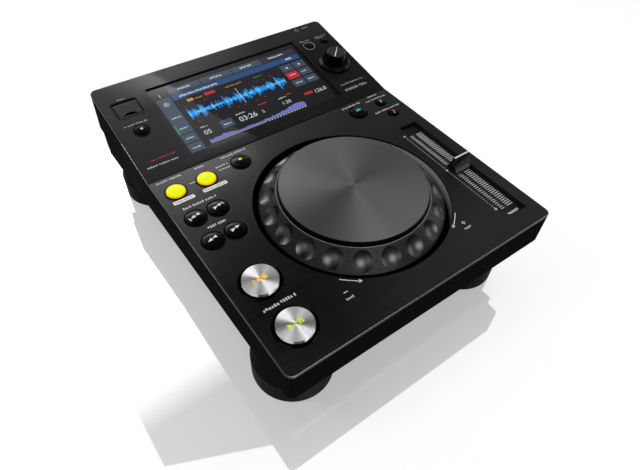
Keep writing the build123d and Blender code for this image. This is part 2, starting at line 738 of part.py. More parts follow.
# Rear panel: sheet behind the case's rear window, pierced for the sockets
with BuildPart() as rear_panel:
    with BuildSketch(Plane.XZ.offset(-SHEET_FRONT)):
        with Locations((0, (WINDOW_LOW + WINDOW_HIGH + WALL) / 2)):
            Rectangle(WIDTH - 2 * PANEL_SIDE, WINDOW_HIGH - WINDOW_LOW + WALL)
        with Locations((INLET_X, SOCKET_Z)):
            Rectangle(INLET_W + 2 * GAP, INLET_H + 2 * GAP, mode=Mode.SUBTRACT)
        with Locations((POWER_X, SOCKET_Z)):
            Rectangle(POWER_W + 2 * GAP, POWER_H + 2 * GAP, mode=Mode.SUBTRACT)
        with Locations((LAN_X, SOCKET_Z)):
            Rectangle(LAN_W + 2 * GAP, LAN_H + 2 * GAP, mode=Mode.SUBTRACT)
        with Locations((USB_B_X, BOARD_Z + USB_B_H / 2)):
            Rectangle(USB_B_W + 2 * GAP, USB_B_H + 2 * GAP, mode=Mode.SUBTRACT)
        with Locations((AUDIO_X, SOCKET_Z), (AUDIO_X + AUDIO_PITCH, SOCKET_Z)):
            Circle(AUDIO_NECK_R + FIT, mode=Mode.SUBTRACT)
    extrude(amount=-PANEL_SHEET_T)
save(rear_panel, "rear_panel")

# Feet: round, with a sloping shoulder, each on a rubber pad
PAD_R = FOOT_R - PAD_INSET
foot_outline = [
    (FOOT_SCREW[0] + FIT, FOOT_H),
    (FOOT_R - FOOT_SHOULDER, FOOT_H),
    (FOOT_R, FOOT_SIDE_H),
    (FOOT_R, PAD_PROUD + FOOT_RIM),
    (FOOT_R - FOOT_RIM, PAD_PROUD),
    (PAD_R + GAP, PAD_PROUD),
    (PAD_R + GAP, PAD_T),
    (PAD_HOLE_R - GAP, PAD_T),
    (PAD_HOLE_R - GAP, FOOT_H - FOOT_FLOOR),
    (FOOT_SCREW[0] + FIT, FOOT_H - FOOT_FLOOR),
]
for foot_name, foot_place in FOOT_PLACES.items():
    with BuildPart() as foot:
        with BuildSketch(turning_plane(TABLE, *foot_place)):
            with BuildLine():
                Polyline(*foot_outline, close=True)
            make_face()
        revolve(axis=turning_axis(TABLE, *foot_place))
    save(foot, foot_name)

with BuildPart() as foot_pads:
    with BuildSketch(TABLE):
        with Locations(*FOOT_PLACES.values()):
            Circle(PAD_R)
            Circle(PAD_HOLE_R, mode=Mode.SUBTRACT)
    extrude(amount=PAD_T)
save(foot_pads, "foot_pads")


def screw_outline(size, length):
    """Half section of a screw whose head bears at height zero, shank upwards."""
    shank, head, height = size
    return [(0, -height), (head, -height), (head, 0), (shank, 0), (shank, length), (0, length)]


def draw_screws(plane, points, size, length):
    """Turn one screw at each point of the plane, inside the part being built."""
    for place in points:
        with BuildSketch(turning_plane(plane, *place)) as half_section:
            with BuildLine():
                Polyline(*screw_outline(size, length), close=True)
            make_face()
        revolve(half_section.sketch, axis=turning_axis(plane, *place))


# Screws of the base: through the feet and through the pan into the case's posts
with BuildPart() as base_screws:
    draw_screws(
        Plane.XY.offset(FOOT_H - FOOT_FLOOR), FOOT_PLACES.values(), FOOT_SCREW,
        FOOT_FLOOR + PAN_T + FOOT_BOSS_H,
    )
    draw_screws(Plane.XY.offset(FOOT_H), POSTS, CASE_SCREW, PAN_T + CASE_SCREW_BITE)
save(base_screws, "base_screws")

# Screws of the boards and of the screen bracket, and the screw that keeps the jog wheel down
SPINDLE_TOP = -WELL_DEPTH + SPINDLE_FLANGE_T + GAP + BEARING_L + GAP
with BuildPart() as board_screws:
    for plane, drop, points in CASE_BOSSES:
        thickness = BRACKET_T if points is BRACKET_BOSSES else BOARD_T
        draw_screws(plane.offset(-drop - thickness), points, BOARD_SCREW, thickness + BOARD_SCREW_BITE)
    upside_down = Plane((0, 0, BOARD_Z), x_dir=(1, 0, 0), z_dir=(0, 0, -1))
    draw_screws(
        upside_down, [(x, -y) for x, y in STANDOFFS], BOARD_SCREW, BOARD_T + BOARD_SCREW_BITE
    )
    spindle_end = Plane((0, 0, DECK_Z + SPINDLE_TOP), x_dir=(1, 0, 0), z_dir=(0, 0, -1))
    draw_screws(
        spindle_end, [(JOG_X, -JOG_Y)], (CASE_SCREW[0], AXLE_HEAD_R, AXLE_HEAD_T), CASE_SCREW_BITE
    )
save(board_screws, "board_screws")

# Touch screen: glass under the panel's window, LCD below it, bracket that holds both
with BuildPart() as touch_glass:
    with BuildSketch(PANEL.offset(-SKIN_T)):
        with Locations((SCREEN_SHIFT, SCREEN_SLOPE)):
            Rectangle(GLASS_W, GLASS_L)
    extrude(amount=-GLASS_T)
save(touch_glass, "touch_glass")

with BuildPart() as lcd_module:
    with BuildSketch(PANEL.offset(-SKIN_T - GLASS_T)):
        with Locations((SCREEN_SHIFT, SCREEN_SLOPE)):
            Rectangle(GLASS_W - 2 * LCD_INSET, GLASS_L - 2 * LCD_INSET)
    extrude(amount=-LCD_T)
save(lcd_module, "lcd_module")

with BuildPart() as display_bracket:
    with BuildSketch(PANEL.offset(-BRACKET_DROP)):
        with Locations((SCREEN_SHIFT, SCREEN_SLOPE)):
            Rectangle(2 * (BRACKET_BOSS_X + BRACKET_RIM), 2 * (BRACKET_SPAN + BRACKET_RIM))
            Rectangle(
                2 * (BRACKET_BOSS_X - BRACKET_WINDOW_RIM), GLASS_L - 2 * BRACKET_WINDOW_RIM,
                mode=Mode.SUBTRACT,
            )
        with Locations(*BRACKET_BOSSES):
            Circle(BOARD_SCREW[0] + FIT, mode=Mode.SUBTRACT)
    extrude(amount=-BRACKET_T)
save(display_bracket, "display_bracket")

# Boards in the pan, with their large parts
with BuildPart() as main_board:
    low, high = BOARDS["main_board"]
    with BuildSketch(Plane.XY.offset(BOARD_Z)):
        with Locations(((low + high) / 2, (BOARD_FRONT + BOARD_BACK) / 2)):
            Rectangle(high - low, BOARD_LENGTH)
        with Locations(*standoff_points("main_board")):
            Circle(BOARD_SCREW[0] + FIT, mode=Mode.SUBTRACT)
    extrude(amount=-BOARD_T)
    with BuildSketch(Plane.XY.offset(BOARD_Z)):
        with Locations(((low + high) / 2, (BOARD_FRONT + BOARD_BACK) / 2)):
            Rectangle(CHIP[0], CHIP[1])
    extrude(amount=CHIP[2])
save(main_board, "main_board")

with BuildPart() as power_supply_board:
    low, high = BOARDS["power_supply_board"]
    with BuildSketch(Plane.XY.offset(BOARD_Z)):
        with Locations(((low + high) / 2, (BOARD_FRONT + BOARD_BACK) / 2)):
            Rectangle(high - low, BOARD_LENGTH)
        with Locations(*standoff_points("power_supply_board")):
            Circle(BOARD_SCREW[0] + FIT, mode=Mode.SUBTRACT)
    extrude(amount=-BOARD_T)
    with BuildSketch(Plane.XY.offset(BOARD_Z)):
        with Locations(((low + high) / 2, (BOARD_FRONT + BOARD_BACK) / 2)):
            Rectangle(TRANSFORMER[0], TRANSFORMER[1])
    extrude(amount=TRANSFORMER[2])
    with BuildSketch(Plane.XY.offset(BOARD_Z)):
        with Locations(((low + high) / 2, BOARD_FRONT + CAPACITOR_R + STANDOFF_INSET)):
            with GridLocations(2 * CAPACITOR_R + MARGIN, 1, 2, 1):
                Circle(CAPACITOR_R)
    extrude(amount=CAPACITOR_H)
save(power_supply_board, "power_supply_board")

# Control boards under the buttons: left and right of the deck, left and right of the panel
BOARD_REACH = SWITCH_SIDE / 2 + BOARD_EDGE / 2


def board_rectangle(x_low, x_high, y_low, y_high):
    """Draw one rectangle of a control board."""
    with Locations(((x_low + x_high) / 2, (y_low + y_high) / 2)):
        Rectangle(x_high - x_low, y_high - y_low)


with BuildPart() as control_boards:
    with BuildSketch(DECK.offset(-DECK_BOARD_DROP)):
        board_rectangle(
            COLUMN_X - BOARD_REACH, PAIR_X + SWITCH_SIDE / 2 + MARGIN,
            PLAY_Y - BOARD_REACH, LOOP_Y + BOARD_REACH,
        )
        board_rectangle(COLUMN_X, RELOOP_X + BOARD_REACH, LOOP_Y - BOARD_REACH, LOOP_Y + BOARD_EDGE)
        board_rectangle(
            VINYL_X - BOARD_REACH, TEMPO_BUTTON_X + BOARD_REACH,
            RANGE_Y - BOARD_REACH, RANGE_Y + BOARD_REACH,
        )
        board_rectangle(
            TEMPO_BUTTON_X - BOARD_REACH, TEMPO_BUTTON_X + BOARD_REACH,
            MASTER_Y - BOARD_REACH, RANGE_Y,
        )
        with Locations(*LEFT_BOSSES, *RIGHT_BOSSES):
            Circle(BOARD_SCREW[0] + FIT, mode=Mode.SUBTRACT)
    extrude(amount=-BOARD_T)
    with BuildSketch(PANEL.offset(-PANEL_BOARD_DROP)):
        board_rectangle(
            LID_X - BOARD_EDGE, LID_X + BOARD_EDGE,
            STOP_SLOPE - STOP_REACH - BOARD_EDGE, LID_SLOPE + BOARD_REACH,
        )
        board_rectangle(
            BACK_X - BOARD_REACH / 2, TAG_X + BOARD_REACH / 2,
            KNOB_SLOPE - ENCODER_REACH - BOARD_EDGE, BACK_SLOPE + BOARD_REACH,
        )
        with Locations(*PANEL_LEFT_BOSSES, *PANEL_RIGHT_BOSSES):
            Circle(BOARD_SCREW[0] + FIT, mode=Mode.SUBTRACT)
    extrude(amount=-BOARD_T)
save(control_boards, "control_boards")

# Tact switches: one under each button
with BuildPart() as tact_switches:
    for button in BUTTONS:
        with BuildSketch(button.plane.offset(-button.drop)):
            with Locations((button.x, button.y)):
                Rectangle(SWITCH_SIDE, SWITCH_SIDE)
        extrude(amount=SWITCH_H)
        with BuildSketch(button.plane.offset(-button.drop + SWITCH_H)):
            with Locations((button.x, button.y)):
                Circle(PLUNGER_R)
        extrude(amount=PLUNGER_H)
save(tact_switches, "tact_switches")

# Button bezels: a tube through the skin and the case, with a lip on the skin
with BuildPart() as button_bezels:
    for button in BUTTONS:
        bezel_outline = [
            (bezel_inner(button), -TOP_T),
            (bezel_outer(button), -TOP_T),
            (bezel_outer(button), 0),
            (button.cap_r + button.lip, 0),
            (button.cap_r + button.lip, LIP_H),
            (bezel_inner(button), LIP_H),
        ]
        with BuildSketch(turning_plane(button.plane, button.x, button.y)):
            with BuildLine():
                Polyline(*bezel_outline, close=True)
            make_face()
        revolve(axis=turning_axis(button.plane, button.x, button.y))
save(button_bezels, "button_bezels")

# Button caps: crowned top, keeper flange below the case and a stem down to the switch
for button in BUTTONS:
    flange_top = -TOP_T - GAP
    flange_low = flange_top - CAP_FLANGE_T
    stem_low = -button.drop + SWITCH_H + PLUNGER_H + PRESS + FIT
    crown_middle = (button.cap_r / 2, button.crown - (button.crown - button.edge) / 4)
    with BuildPart() as cap:
        with BuildSketch(turning_plane(button.plane, button.x, button.y)):
            with BuildLine():
                Polyline(
                    (button.cap_r, button.edge),
                    (button.cap_r, flange_top),
                    (button.cap_r + CAP_FLANGE, flange_top),
                    (button.cap_r + CAP_FLANGE, flange_low),
                    (STEM_R, flange_low),
                    (STEM_R, stem_low),
                    (0, stem_low),
                    (0, button.crown),
                )
                ThreePointArc((0, button.crown), crown_middle, (button.cap_r, button.edge))
            make_face()
        revolve(axis=turning_axis(button.plane, button.x, button.y))
    save(cap, button.name)

# Jog well: round dish hung under the case's top
well_outline = [
    (SPINDLE_STUB_R + FIT, -WELL_DEPTH),
    (JOG_RECESS_R, -WELL_DEPTH),
    (JOG_RECESS_R, -SKIN_T),
    (JOG_RECESS_R + WELL_WALL, -SKIN_T),
    (JOG_RECESS_R + WELL_WALL, -TOP_T),
    (JOG_RECESS_R + WELL_WALL + WELL_FLANGE, -TOP_T),
    (JOG_RECESS_R + WELL_WALL + WELL_FLANGE, -TOP_T - WELL_FLANGE_T),
    (JOG_RECESS_R + WELL_WALL, -TOP_T - WELL_FLANGE_T),
    (JOG_RECESS_R + WELL_WALL, -WELL_DEPTH - WELL_FLOOR_T),
    (SPINDLE_STUB_R + FIT, -WELL_DEPTH - WELL_FLOOR_T),
]
JOG_TURN = turning_plane(DECK, JOG_X, JOG_Y)
JOG_AXIS = turning_axis(DECK, JOG_X, JOG_Y)
with BuildPart() as jog_well:
    with BuildSketch(JOG_TURN):
        with BuildLine():
            Polyline(*well_outline, close=True)
        make_face()
    revolve(axis=JOG_AXIS)
save(jog_well, "jog_well")

# Jog spindle: fixed steel pin with a flange on the well's floor
spindle_outline = [
    (0, -WELL_DEPTH - WELL_FLOOR_T),
    (SPINDLE_STUB_R, -WELL_DEPTH - WELL_FLOOR_T),
    (SPINDLE_STUB_R, -WELL_DEPTH),
    (SPINDLE_FLANGE_R, -WELL_DEPTH),
    (SPINDLE_FLANGE_R, -WELL_DEPTH + SPINDLE_FLANGE_T),
    (SPINDLE_R, -WELL_DEPTH + SPINDLE_FLANGE_T),
    (SPINDLE_R, SPINDLE_TOP),
    (0, SPINDLE_TOP),
]
with BuildPart() as jog_spindle:
    with BuildSketch(JOG_TURN):
        with BuildLine():
            Polyline(*spindle_outline, close=True)
        make_face()
    revolve(axis=JOG_AXIS)
    with BuildSketch(DECK.offset(SPINDLE_TOP)):
        with Locations((JOG_X, JOG_Y)):
            Circle(CASE_SCREW[0] + FIT)
    extrude(amount=-CASE_SCREW_BITE - GAP, mode=Mode.SUBTRACT)
save(jog_spindle, "jog_spindle")

# Jog bearing: sleeve that turns on the spindle
BEARING_LOW = -WELL_DEPTH + SPINDLE_FLANGE_T + GAP
BEARING_R = SPINDLE_R + RUN + BEARING_WALL
with BuildPart() as jog_bearing:
    with BuildSketch(DECK.offset(BEARING_LOW)):
        with Locations((JOG_X, JOG_Y)):
            Circle(BEARING_R)
            Circle(SPINDLE_R + RUN, mode=Mode.SUBTRACT)
    extrude(amount=BEARING_L)
save(jog_bearing, "jog_bearing")

# Jog ring: cone with finger dimples, web and hub in one moulding
DISC_DROP = WELL_DEPTH - DISC_LIFT
HUB_BORE_R = BEARING_R + RUN
HUB_R = HUB_BORE_R + HUB_WALL
HUB_LOW = -DISC_DROP - GAP
HUB_TOP = BEARING_LOW + BEARING_L - GAP
RING_R = JOG_RECESS_R - RING_MOAT
RING_TOP_R = RING_R - CONE_RUN
RING_TOP_RISE = CONE_RISE - RING_SHOULDER_DROP
PLATE_R = RING_TOP_R - RING_EDGE_W - PLATE_GAP
PLATE_RISE = RING_TOP_RISE + PLATE_STEP
PLATE_LOW = PLATE_RISE - PLATE_RIM_H
SHELF = PLATE_LOW - PLATE_PRESS - FIT
PLATE_INNER_R = PLATE_R - PLATE_RIM_W
WEB_TOP = -RING_WEB_DROP + RING_WEB_T
ring_outline = [
    (PLATE_INNER_R, SHELF),
    (PLATE_R + PLATE_GAP, SHELF),
    (PLATE_R + PLATE_GAP, RING_TOP_RISE),
    (RING_TOP_R, RING_TOP_RISE),
    (RING_R, -RING_SHOULDER_DROP),
    (RING_R, -WELL_DEPTH + RING_FLOOR_GAP),
    (RING_R - RING_SKIRT_T, -WELL_DEPTH + RING_FLOOR_GAP),
    (RING_R - RING_SKIRT_T, -RING_WEB_DROP),
    (HUB_R + HUB_SHOULDER, -RING_WEB_DROP),
    (HUB_R + HUB_SHOULDER, -DISC_DROP + DISC_T),
    (HUB_R, -DISC_DROP + DISC_T),
    (HUB_R, HUB_LOW),
    (HUB_BORE_R, HUB_LOW),
    (HUB_BORE_R, HUB_TOP),
    (HUB_R, HUB_TOP),
    (HUB_R, WEB_TOP),
    (PLATE_INNER_R, WEB_TOP),
]
CONE_SLANT = sqrt(CONE_RUN**2 + CONE_RISE**2)
DIMPLE_BALL = (DIMPLE_R**2 + DIMPLE_DEPTH**2) / (2 * DIMPLE_DEPTH)
DIMPLE_LIFT = DIMPLE_BALL - DIMPLE_DEPTH
DIMPLE_CENTRE_R = (RING_R + RING_TOP_R) / 2 + DIMPLE_LIFT * CONE_RISE / CONE_SLANT
DIMPLE_CENTRE_Z = (RING_TOP_RISE - RING_SHOULDER_DROP) / 2 + DIMPLE_LIFT * CONE_RUN / CONE_SLANT
with BuildPart() as jog_ring:
    with BuildSketch(JOG_TURN):
        with BuildLine():
            Polyline(*ring_outline, close=True)
        make_face()
    revolve(axis=JOG_AXIS)
    with Locations((JOG_X, JOG_Y, DECK_Z + DIMPLE_CENTRE_Z)):
        with PolarLocations(DIMPLE_CENTRE_R, DIMPLES, DIMPLE_ANGLE):
            Sphere(DIMPLE_BALL, mode=Mode.SUBTRACT)
save(jog_ring, "jog_ring")

# Jog encoder disc: slotted disc under the hub's shoulder
with BuildPart() as jog_encoder_disc:
    with BuildSketch(DECK.offset(-DISC_DROP)):
        with Locations((JOG_X, JOG_Y)):
            Circle(DISC_R)
            Circle(HUB_R + RUN, mode=Mode.SUBTRACT)
            with PolarLocations(DISC_R - DISC_SLOT[1], DISC_SLOTS):
                Rectangle(DISC_SLOT[1], DISC_SLOT[0], mode=Mode.SUBTRACT)
    extrude(amount=DISC_T)
save(jog_encoder_disc, "jog_encoder_disc")

# Jog sensor: light gate that straddles the disc's rim
SENSOR_LOW = JOG_Y + DISC_R - SENSOR_LAP
SENSOR_SLOT_LOW = -DISC_DROP - SENSOR_SLOT_GAP
SENSOR_SLOT_HIGH = -DISC_DROP + DISC_T + SENSOR_SLOT_GAP
sensor_outline = [
    (SENSOR_LOW, DECK_Z - WELL_DEPTH),
    (JOG_Y + DISC_R + SENSOR_SLOT_GAP + SENSOR_BACK, DECK_Z - WELL_DEPTH),
    (JOG_Y + DISC_R + SENSOR_SLOT_GAP + SENSOR_BACK, DECK_Z + SENSOR_SLOT_HIGH + SENSOR_ARM),
    (SENSOR_LOW, DECK_Z + SENSOR_SLOT_HIGH + SENSOR_ARM),
    (SENSOR_LOW, DECK_Z + SENSOR_SLOT_HIGH),
    (JOG_Y + DISC_R + SENSOR_SLOT_GAP, DECK_Z + SENSOR_SLOT_HIGH),
    (JOG_Y + DISC_R + SENSOR_SLOT_GAP, DECK_Z + SENSOR_SLOT_LOW),
    (SENSOR_LOW, DECK_Z + SENSOR_SLOT_LOW),
]
with BuildPart() as jog_sensor:
    with BuildSketch(side_plane(JOG_X - SENSOR_W / 2)):
        with BuildLine():
            Polyline(*sensor_outline, close=True)
        make_face()
    extrude(amount=SENSOR_W)
save(jog_sensor, "jog_sensor")

# Jog plate: spun metal lid that sinks a little when pressed
plate_outline = [
    (0, PLATE_RISE),
    (PLATE_R - EDGE_CHAMFER, PLATE_RISE),
    (PLATE_R, PLATE_RISE - EDGE_CHAMFER),
    (PLATE_R, PLATE_LOW),
    (PLATE_INNER_R + PLATE_GAP, PLATE_LOW),
    (PLATE_INNER_R + PLATE_GAP, PLATE_RISE - PLATE_T),
    (0, PLATE_RISE - PLATE_T),
]
with BuildPart() as jog_plate:
    with BuildSketch(JOG_TURN):
        with BuildLine():
            Polyline(*plate_outline, close=True)
        make_face()
    revolve(axis=JOG_AXIS)
save(jog_plate, "jog_plate")

# Tempo trough: sunken tray that the slider runs in
SLOT_L = 2 * TEMPO_TRAVEL + LEVER_L + 2 * SLOT_GAP
SLOT_W = LEVER_W + 2 * SLOT_GAP
with BuildPart() as tempo_trough:
    with BuildSketch(DECK.offset(-TROUGH_DEPTH)):
        with Locations((TEMPO_X, TEMPO_Y)):
            Rectangle(TROUGH_HOLE_W + 2 * TROUGH_FLANGE, TROUGH_HOLE_L + 2 * TROUGH_FLANGE)
    extrude(amount=-TROUGH_FLOOR_T)
    with BuildSketch(DECK.offset(-TROUGH_DEPTH)):
        with Locations((TEMPO_X, TEMPO_Y)):
            Rectangle(TROUGH_W + 2 * TROUGH_WALL, TROUGH_L + 2 * TROUGH_WALL)
            Rectangle(TROUGH_W, TROUGH_L, mode=Mode.SUBTRACT)
    extrude(amount=TROUGH_DEPTH - SKIN_T)
    with BuildSketch(DECK.offset(-TROUGH_DEPTH)):
        with Locations((TEMPO_X, TEMPO_Y)):
            Rectangle(SLOT_W, SLOT_L)
    extrude(amount=-TROUGH_FLOOR_T, mode=Mode.SUBTRACT)
save(tempo_trough, "tempo_trough")

# Tempo fader: slotted metal housing under the trough
FADER_TOP = -TROUGH_DEPTH - TROUGH_FLOOR_T
FADER_L = SLOT_L + 2 * FADER_END
with BuildPart() as tempo_fader:
    with BuildSketch(DECK.offset(FADER_TOP)):
        with Locations((TEMPO_X, TEMPO_Y)):
            Rectangle(FADER_W, FADER_L)
    extrude(amount=-FADER_DEPTH)
    with BuildSketch(DECK.offset(FADER_TOP - FADER_WALL)):
        with Locations((TEMPO_X, TEMPO_Y)):
            Rectangle(FADER_W - 2 * FADER_WALL, FADER_L - 2 * FADER_WALL)
    extrude(amount=-FADER_DEPTH + 2 * FADER_WALL, mode=Mode.SUBTRACT)
    with BuildSketch(DECK.offset(FADER_TOP)):
        with Locations((TEMPO_X, TEMPO_Y)):
            Rectangle(SLOT_W, SLOT_L)
    extrude(amount=-FADER_WALL, mode=Mode.SUBTRACT)
save(tempo_fader, "tempo_fader")

# Fader lever: carriage inside the housing and the blade that carries the slider cap
CARRIAGE_LOW = FADER_TOP - FADER_DEPTH + FADER_WALL + GAP
with BuildPart() as fader_lever:
    with BuildSketch(DECK.offset(CARRIAGE_LOW)):
        with Locations((TEMPO_X, TEMPO_Y)):
            Rectangle(FADER_W - 2 * FADER_WALL - 2 * GAP, CARRIAGE_L)
    extrude(amount=CARRIAGE_H)
    with BuildSketch(DECK.offset(CARRIAGE_LOW)):
        with Locations((TEMPO_X, TEMPO_Y)):
            Rectangle(LEVER_W, LEVER_L)
    extrude(amount=LEVER_RISE - CARRIAGE_LOW)
save(fader_lever, "fader_lever")

# Tempo knob: slider cap with hollowed flanks and a ridge across its top
KNOB_LOW = -TROUGH_DEPTH + 2 * GAP
knob_foot_z = KNOB_LOW + KNOB_FOOT_H
flank_low = (TEMPO_Y + KNOB_L / 2, DECK_Z + knob_foot_z)
flank_high = (TEMPO_Y + KNOB_RIDGE_L / 2, DECK_Z + KNOB_RISE - KNOB_RIDGE_H)
flank_middle = (
    (flank_low[0] + flank_high[0]) / 2 - KNOB_BOW,
    (flank_low[1] + flank_high[1]) / 2 - KNOB_BOW / 2,
)


def mirrored(point):
    """The same point on the slider cap's other flank."""
    return 2 * TEMPO_Y - point[0], point[1]


with BuildPart() as tempo_knob:
    with BuildSketch(side_plane(TEMPO_X - KNOB_W / 2)):
        with BuildLine():
            Polyline(
                mirrored(flank_low),
                (TEMPO_Y - KNOB_L / 2, DECK_Z + KNOB_LOW),
                (TEMPO_Y + KNOB_L / 2, DECK_Z + KNOB_LOW),
                flank_low,
            )
            ThreePointArc(flank_low, flank_middle, flank_high)
            Polyline(
                flank_high,
                (TEMPO_Y + KNOB_RIDGE_L / 2, DECK_Z + KNOB_RISE),
                (TEMPO_Y - KNOB_RIDGE_L / 2, DECK_Z + KNOB_RISE),
                mirrored(flank_high),
            )
            ThreePointArc(mirrored(flank_high), mirrored(flank_middle), mirrored(flank_low))
        make_face()
    extrude(amount=KNOB_W)
    with BuildSketch(DECK.offset(KNOB_LOW)):
        with Locations((TEMPO_X, TEMPO_Y)):
            Rectangle(LEVER_W + 2 * RUN, LEVER_L + 2 * RUN)
    extrude(amount=LEVER_RISE + RUN - KNOB_LOW, mode=Mode.SUBTRACT)
save(tempo_knob, "tempo_knob")

# Selector collar: raised ring on the panel round the knob
KNOB_TURN = turning_plane(PANEL, KNOB_X, KNOB_SLOPE)
KNOB_AXIS = turning_axis(PANEL, KNOB_X, KNOB_SLOPE)
COLLAR_BORE_R = SELECTOR_R + 2 * GAP
with BuildPart() as selector_collar:
    with BuildSketch(KNOB_TURN):
        with BuildLine():
            Polyline(
                (COLLAR_BORE_R, 0),
                (COLLAR_R, 0),
                (COLLAR_R, COLLAR_H / 2),
                (COLLAR_TOP_R, COLLAR_H),
                (COLLAR_BORE_R, COLLAR_H),
                close=True,
            )
        make_face()
    revolve(axis=KNOB_AXIS)
save(selector_collar, "selector_collar")

# Selector encoder: housing on the board, with a bushing up through the panel
ENCODER_TOP = -PANEL_BOARD_DROP + ENCODER_H
ROTOR_HIGH = ENCODER_TOP - ENCODER_LID - GAP
ROTOR_LOW = ROTOR_HIGH - ROTOR_T
SHAFT_LOW = ROTOR_LOW
with BuildPart() as selector_encoder:
    with BuildSketch(PANEL.offset(-PANEL_BOARD_DROP)):
        with Locations((KNOB_X, KNOB_SLOPE)):
            Rectangle(ENCODER_SIDE, ENCODER_SIDE)
    extrude(amount=ENCODER_H)
    with BuildSketch(PANEL.offset(ENCODER_TOP)):
        with Locations((KNOB_X, KNOB_SLOPE)):
            Circle(BUSHING_R)
    extrude(amount=-BUSHING_DROP - ENCODER_TOP)
    with BuildSketch(PANEL.offset(ROTOR_LOW - GAP)):
        with Locations((KNOB_X, KNOB_SLOPE)):
            Circle(ROTOR_R + GAP)
    extrude(amount=ROTOR_T + 2 * GAP, mode=Mode.SUBTRACT)
    with BuildSketch(PANEL.offset(SHAFT_LOW - SHAFT_POCKET)):
        with Locations((KNOB_X, KNOB_SLOPE)):
            Circle(SHAFT_R + RUN)
    extrude(amount=-BUSHING_DROP - SHAFT_LOW + SHAFT_POCKET, mode=Mode.SUBTRACT)
save(selector_encoder, "selector_encoder")

# Selector rotor: wiper ring that turns in the housing while the shaft slides in it
with BuildPart() as selector_rotor:
    with BuildSketch(PANEL.offset(ROTOR_LOW)):
        with Locations((KNOB_X, KNOB_SLOPE)):
            Circle(ROTOR_R)
            Circle(SHAFT_R + RUN, mode=Mode.SUBTRACT)
    extrude(amount=ROTOR_T)
save(selector_rotor, "selector_rotor")

# Selector shaft and the knob pressed on it
SHAFT_HIGH = SELECTOR_RISE - SELECTOR_CAP_T
with BuildPart() as selector_shaft:
    with BuildSketch(PANEL.offset(SHAFT_LOW)):
        with Locations((KNOB_X, KNOB_SLOPE)):
            Circle(SHAFT_R)
    extrude(amount=SHAFT_HIGH - SHAFT_LOW)
save(selector_shaft, "selector_shaft")

with BuildPart() as selector_knob:
    with BuildSketch(KNOB_TURN):
        with BuildLine():
            Polyline(
                (0, SHAFT_HIGH),
                (SHAFT_R + RUN, SHAFT_HIGH),
                (SHAFT_R + RUN, SELECTOR_FLOAT),
                (SELECTOR_R, SELECTOR_FLOAT),
                (SELECTOR_TOP_R, SELECTOR_RISE - SELECTOR_EDGE),
                (SELECTOR_TOP_R - SELECTOR_EDGE, SELECTOR_RISE),
                (0, SELECTOR_RISE),
                close=True,
            )
        make_face()
    revolve(axis=KNOB_AXIS)
save(selector_knob, "selector_knob")

# USB lid: flap with a rounded hinge barrel at its back and a finger notch at its front
HINGE_POINT = on_panel(HINGE_SLOPE, -HINGE_DROP)
lid_front_slope = LID_SLOPE - LID_L / 2
with BuildPart() as usb_lid:
    with BuildSketch(PANEL):
        board_rectangle(LID_X - LID_W / 2, LID_X + LID_W / 2, lid_front_slope, HINGE_SLOPE)
        with Locations((LID_X, lid_front_slope - LID_NOTCH_OUT)):
            Circle(LID_NOTCH_R, mode=Mode.SUBTRACT)
    extrude(amount=-LID_T)
    with BuildSketch(Plane((LID_X - LID_W / 2, *HINGE_POINT), x_dir=(0, 1, 0), z_dir=(1, 0, 0))):
        Circle(HINGE_DROP)
    extrude(amount=LID_W)
    with BuildSketch(Plane((LID_X - LID_W / 2, *HINGE_POINT), x_dir=(0, 1, 0), z_dir=(1, 0, 0))):
        Circle(LID_PIN_R + RUN)
    extrude(amount=LID_W, mode=Mode.SUBTRACT)
save(usb_lid, "usb_lid")

pin_length = LID_HOLE_W + 2 * LID_PIN_BITE - 2 * FIT
with BuildPart() as usb_lid_pin:
    with BuildSketch(Plane((LID_X - pin_length / 2, *HINGE_POINT), x_dir=(0, 1, 0), z_dir=(1, 0, 0))):
        Circle(LID_PIN_R)
    extrude(amount=pin_length)
save(usb_lid_pin, "usb_lid_pin")

# USB socket: upright shell on the left panel board, with its tongue
usb_slope = LID_FRONT + USB_FROM_FRONT
usb_height = PANEL_BOARD_DROP - USB_MOUTH_DROP
with BuildPart() as usb_socket:
    with BuildSketch(PANEL.offset(-PANEL_BOARD_DROP)):
        with Locations((LID_X, usb_slope)):
            Rectangle(USB_W, USB_L)
    extrude(amount=usb_height)
    with BuildSketch(PANEL.offset(-PANEL_BOARD_DROP + USB_TONGUE_DROP)):
        with Locations((LID_X, usb_slope)):
            Rectangle(USB_W - 2 * USB_WALL, USB_L - 2 * USB_WALL)
    extrude(amount=usb_height, mode=Mode.SUBTRACT)
    with BuildSketch(PANEL.offset(-PANEL_BOARD_DROP + USB_TONGUE_DROP)):
        with Locations((LID_X, usb_slope + USB_L / 2 - USB_WALL - USB_TONGUE_BACK - USB_TONGUE_T / 2)):
            Rectangle(USB_TONGUE_W, USB_TONGUE_T)
    extrude(amount=usb_height - 2 * USB_TONGUE_DROP)
save(usb_socket, "usb_socket")


def rear_face(y):
    """Plane facing the back at depth y, drawn on in (x, z)."""
    return Plane((0, y, 0), x_dir=(1, 0, 0), z_dir=(0, -1, 0))


# LAN socket: box on the main board with a plug opening
with BuildPart() as lan_socket:
    with BuildSketch(rear_face(SOCKET_FACE)):
        with Locations((LAN_X, SOCKET_Z)):
            Rectangle(LAN_W, LAN_H)
    extrude(amount=LAN_L)
    with BuildSketch(rear_face(SOCKET_FACE)):
        with Locations((LAN_X, BOARD_Z + LAN_SILL + LAN_HOLE_H / 2)):
            Rectangle(LAN_HOLE_W, LAN_HOLE_H)
    extrude(amount=LAN_HOLE_L, mode=Mode.SUBTRACT)
save(lan_socket, "lan_socket")

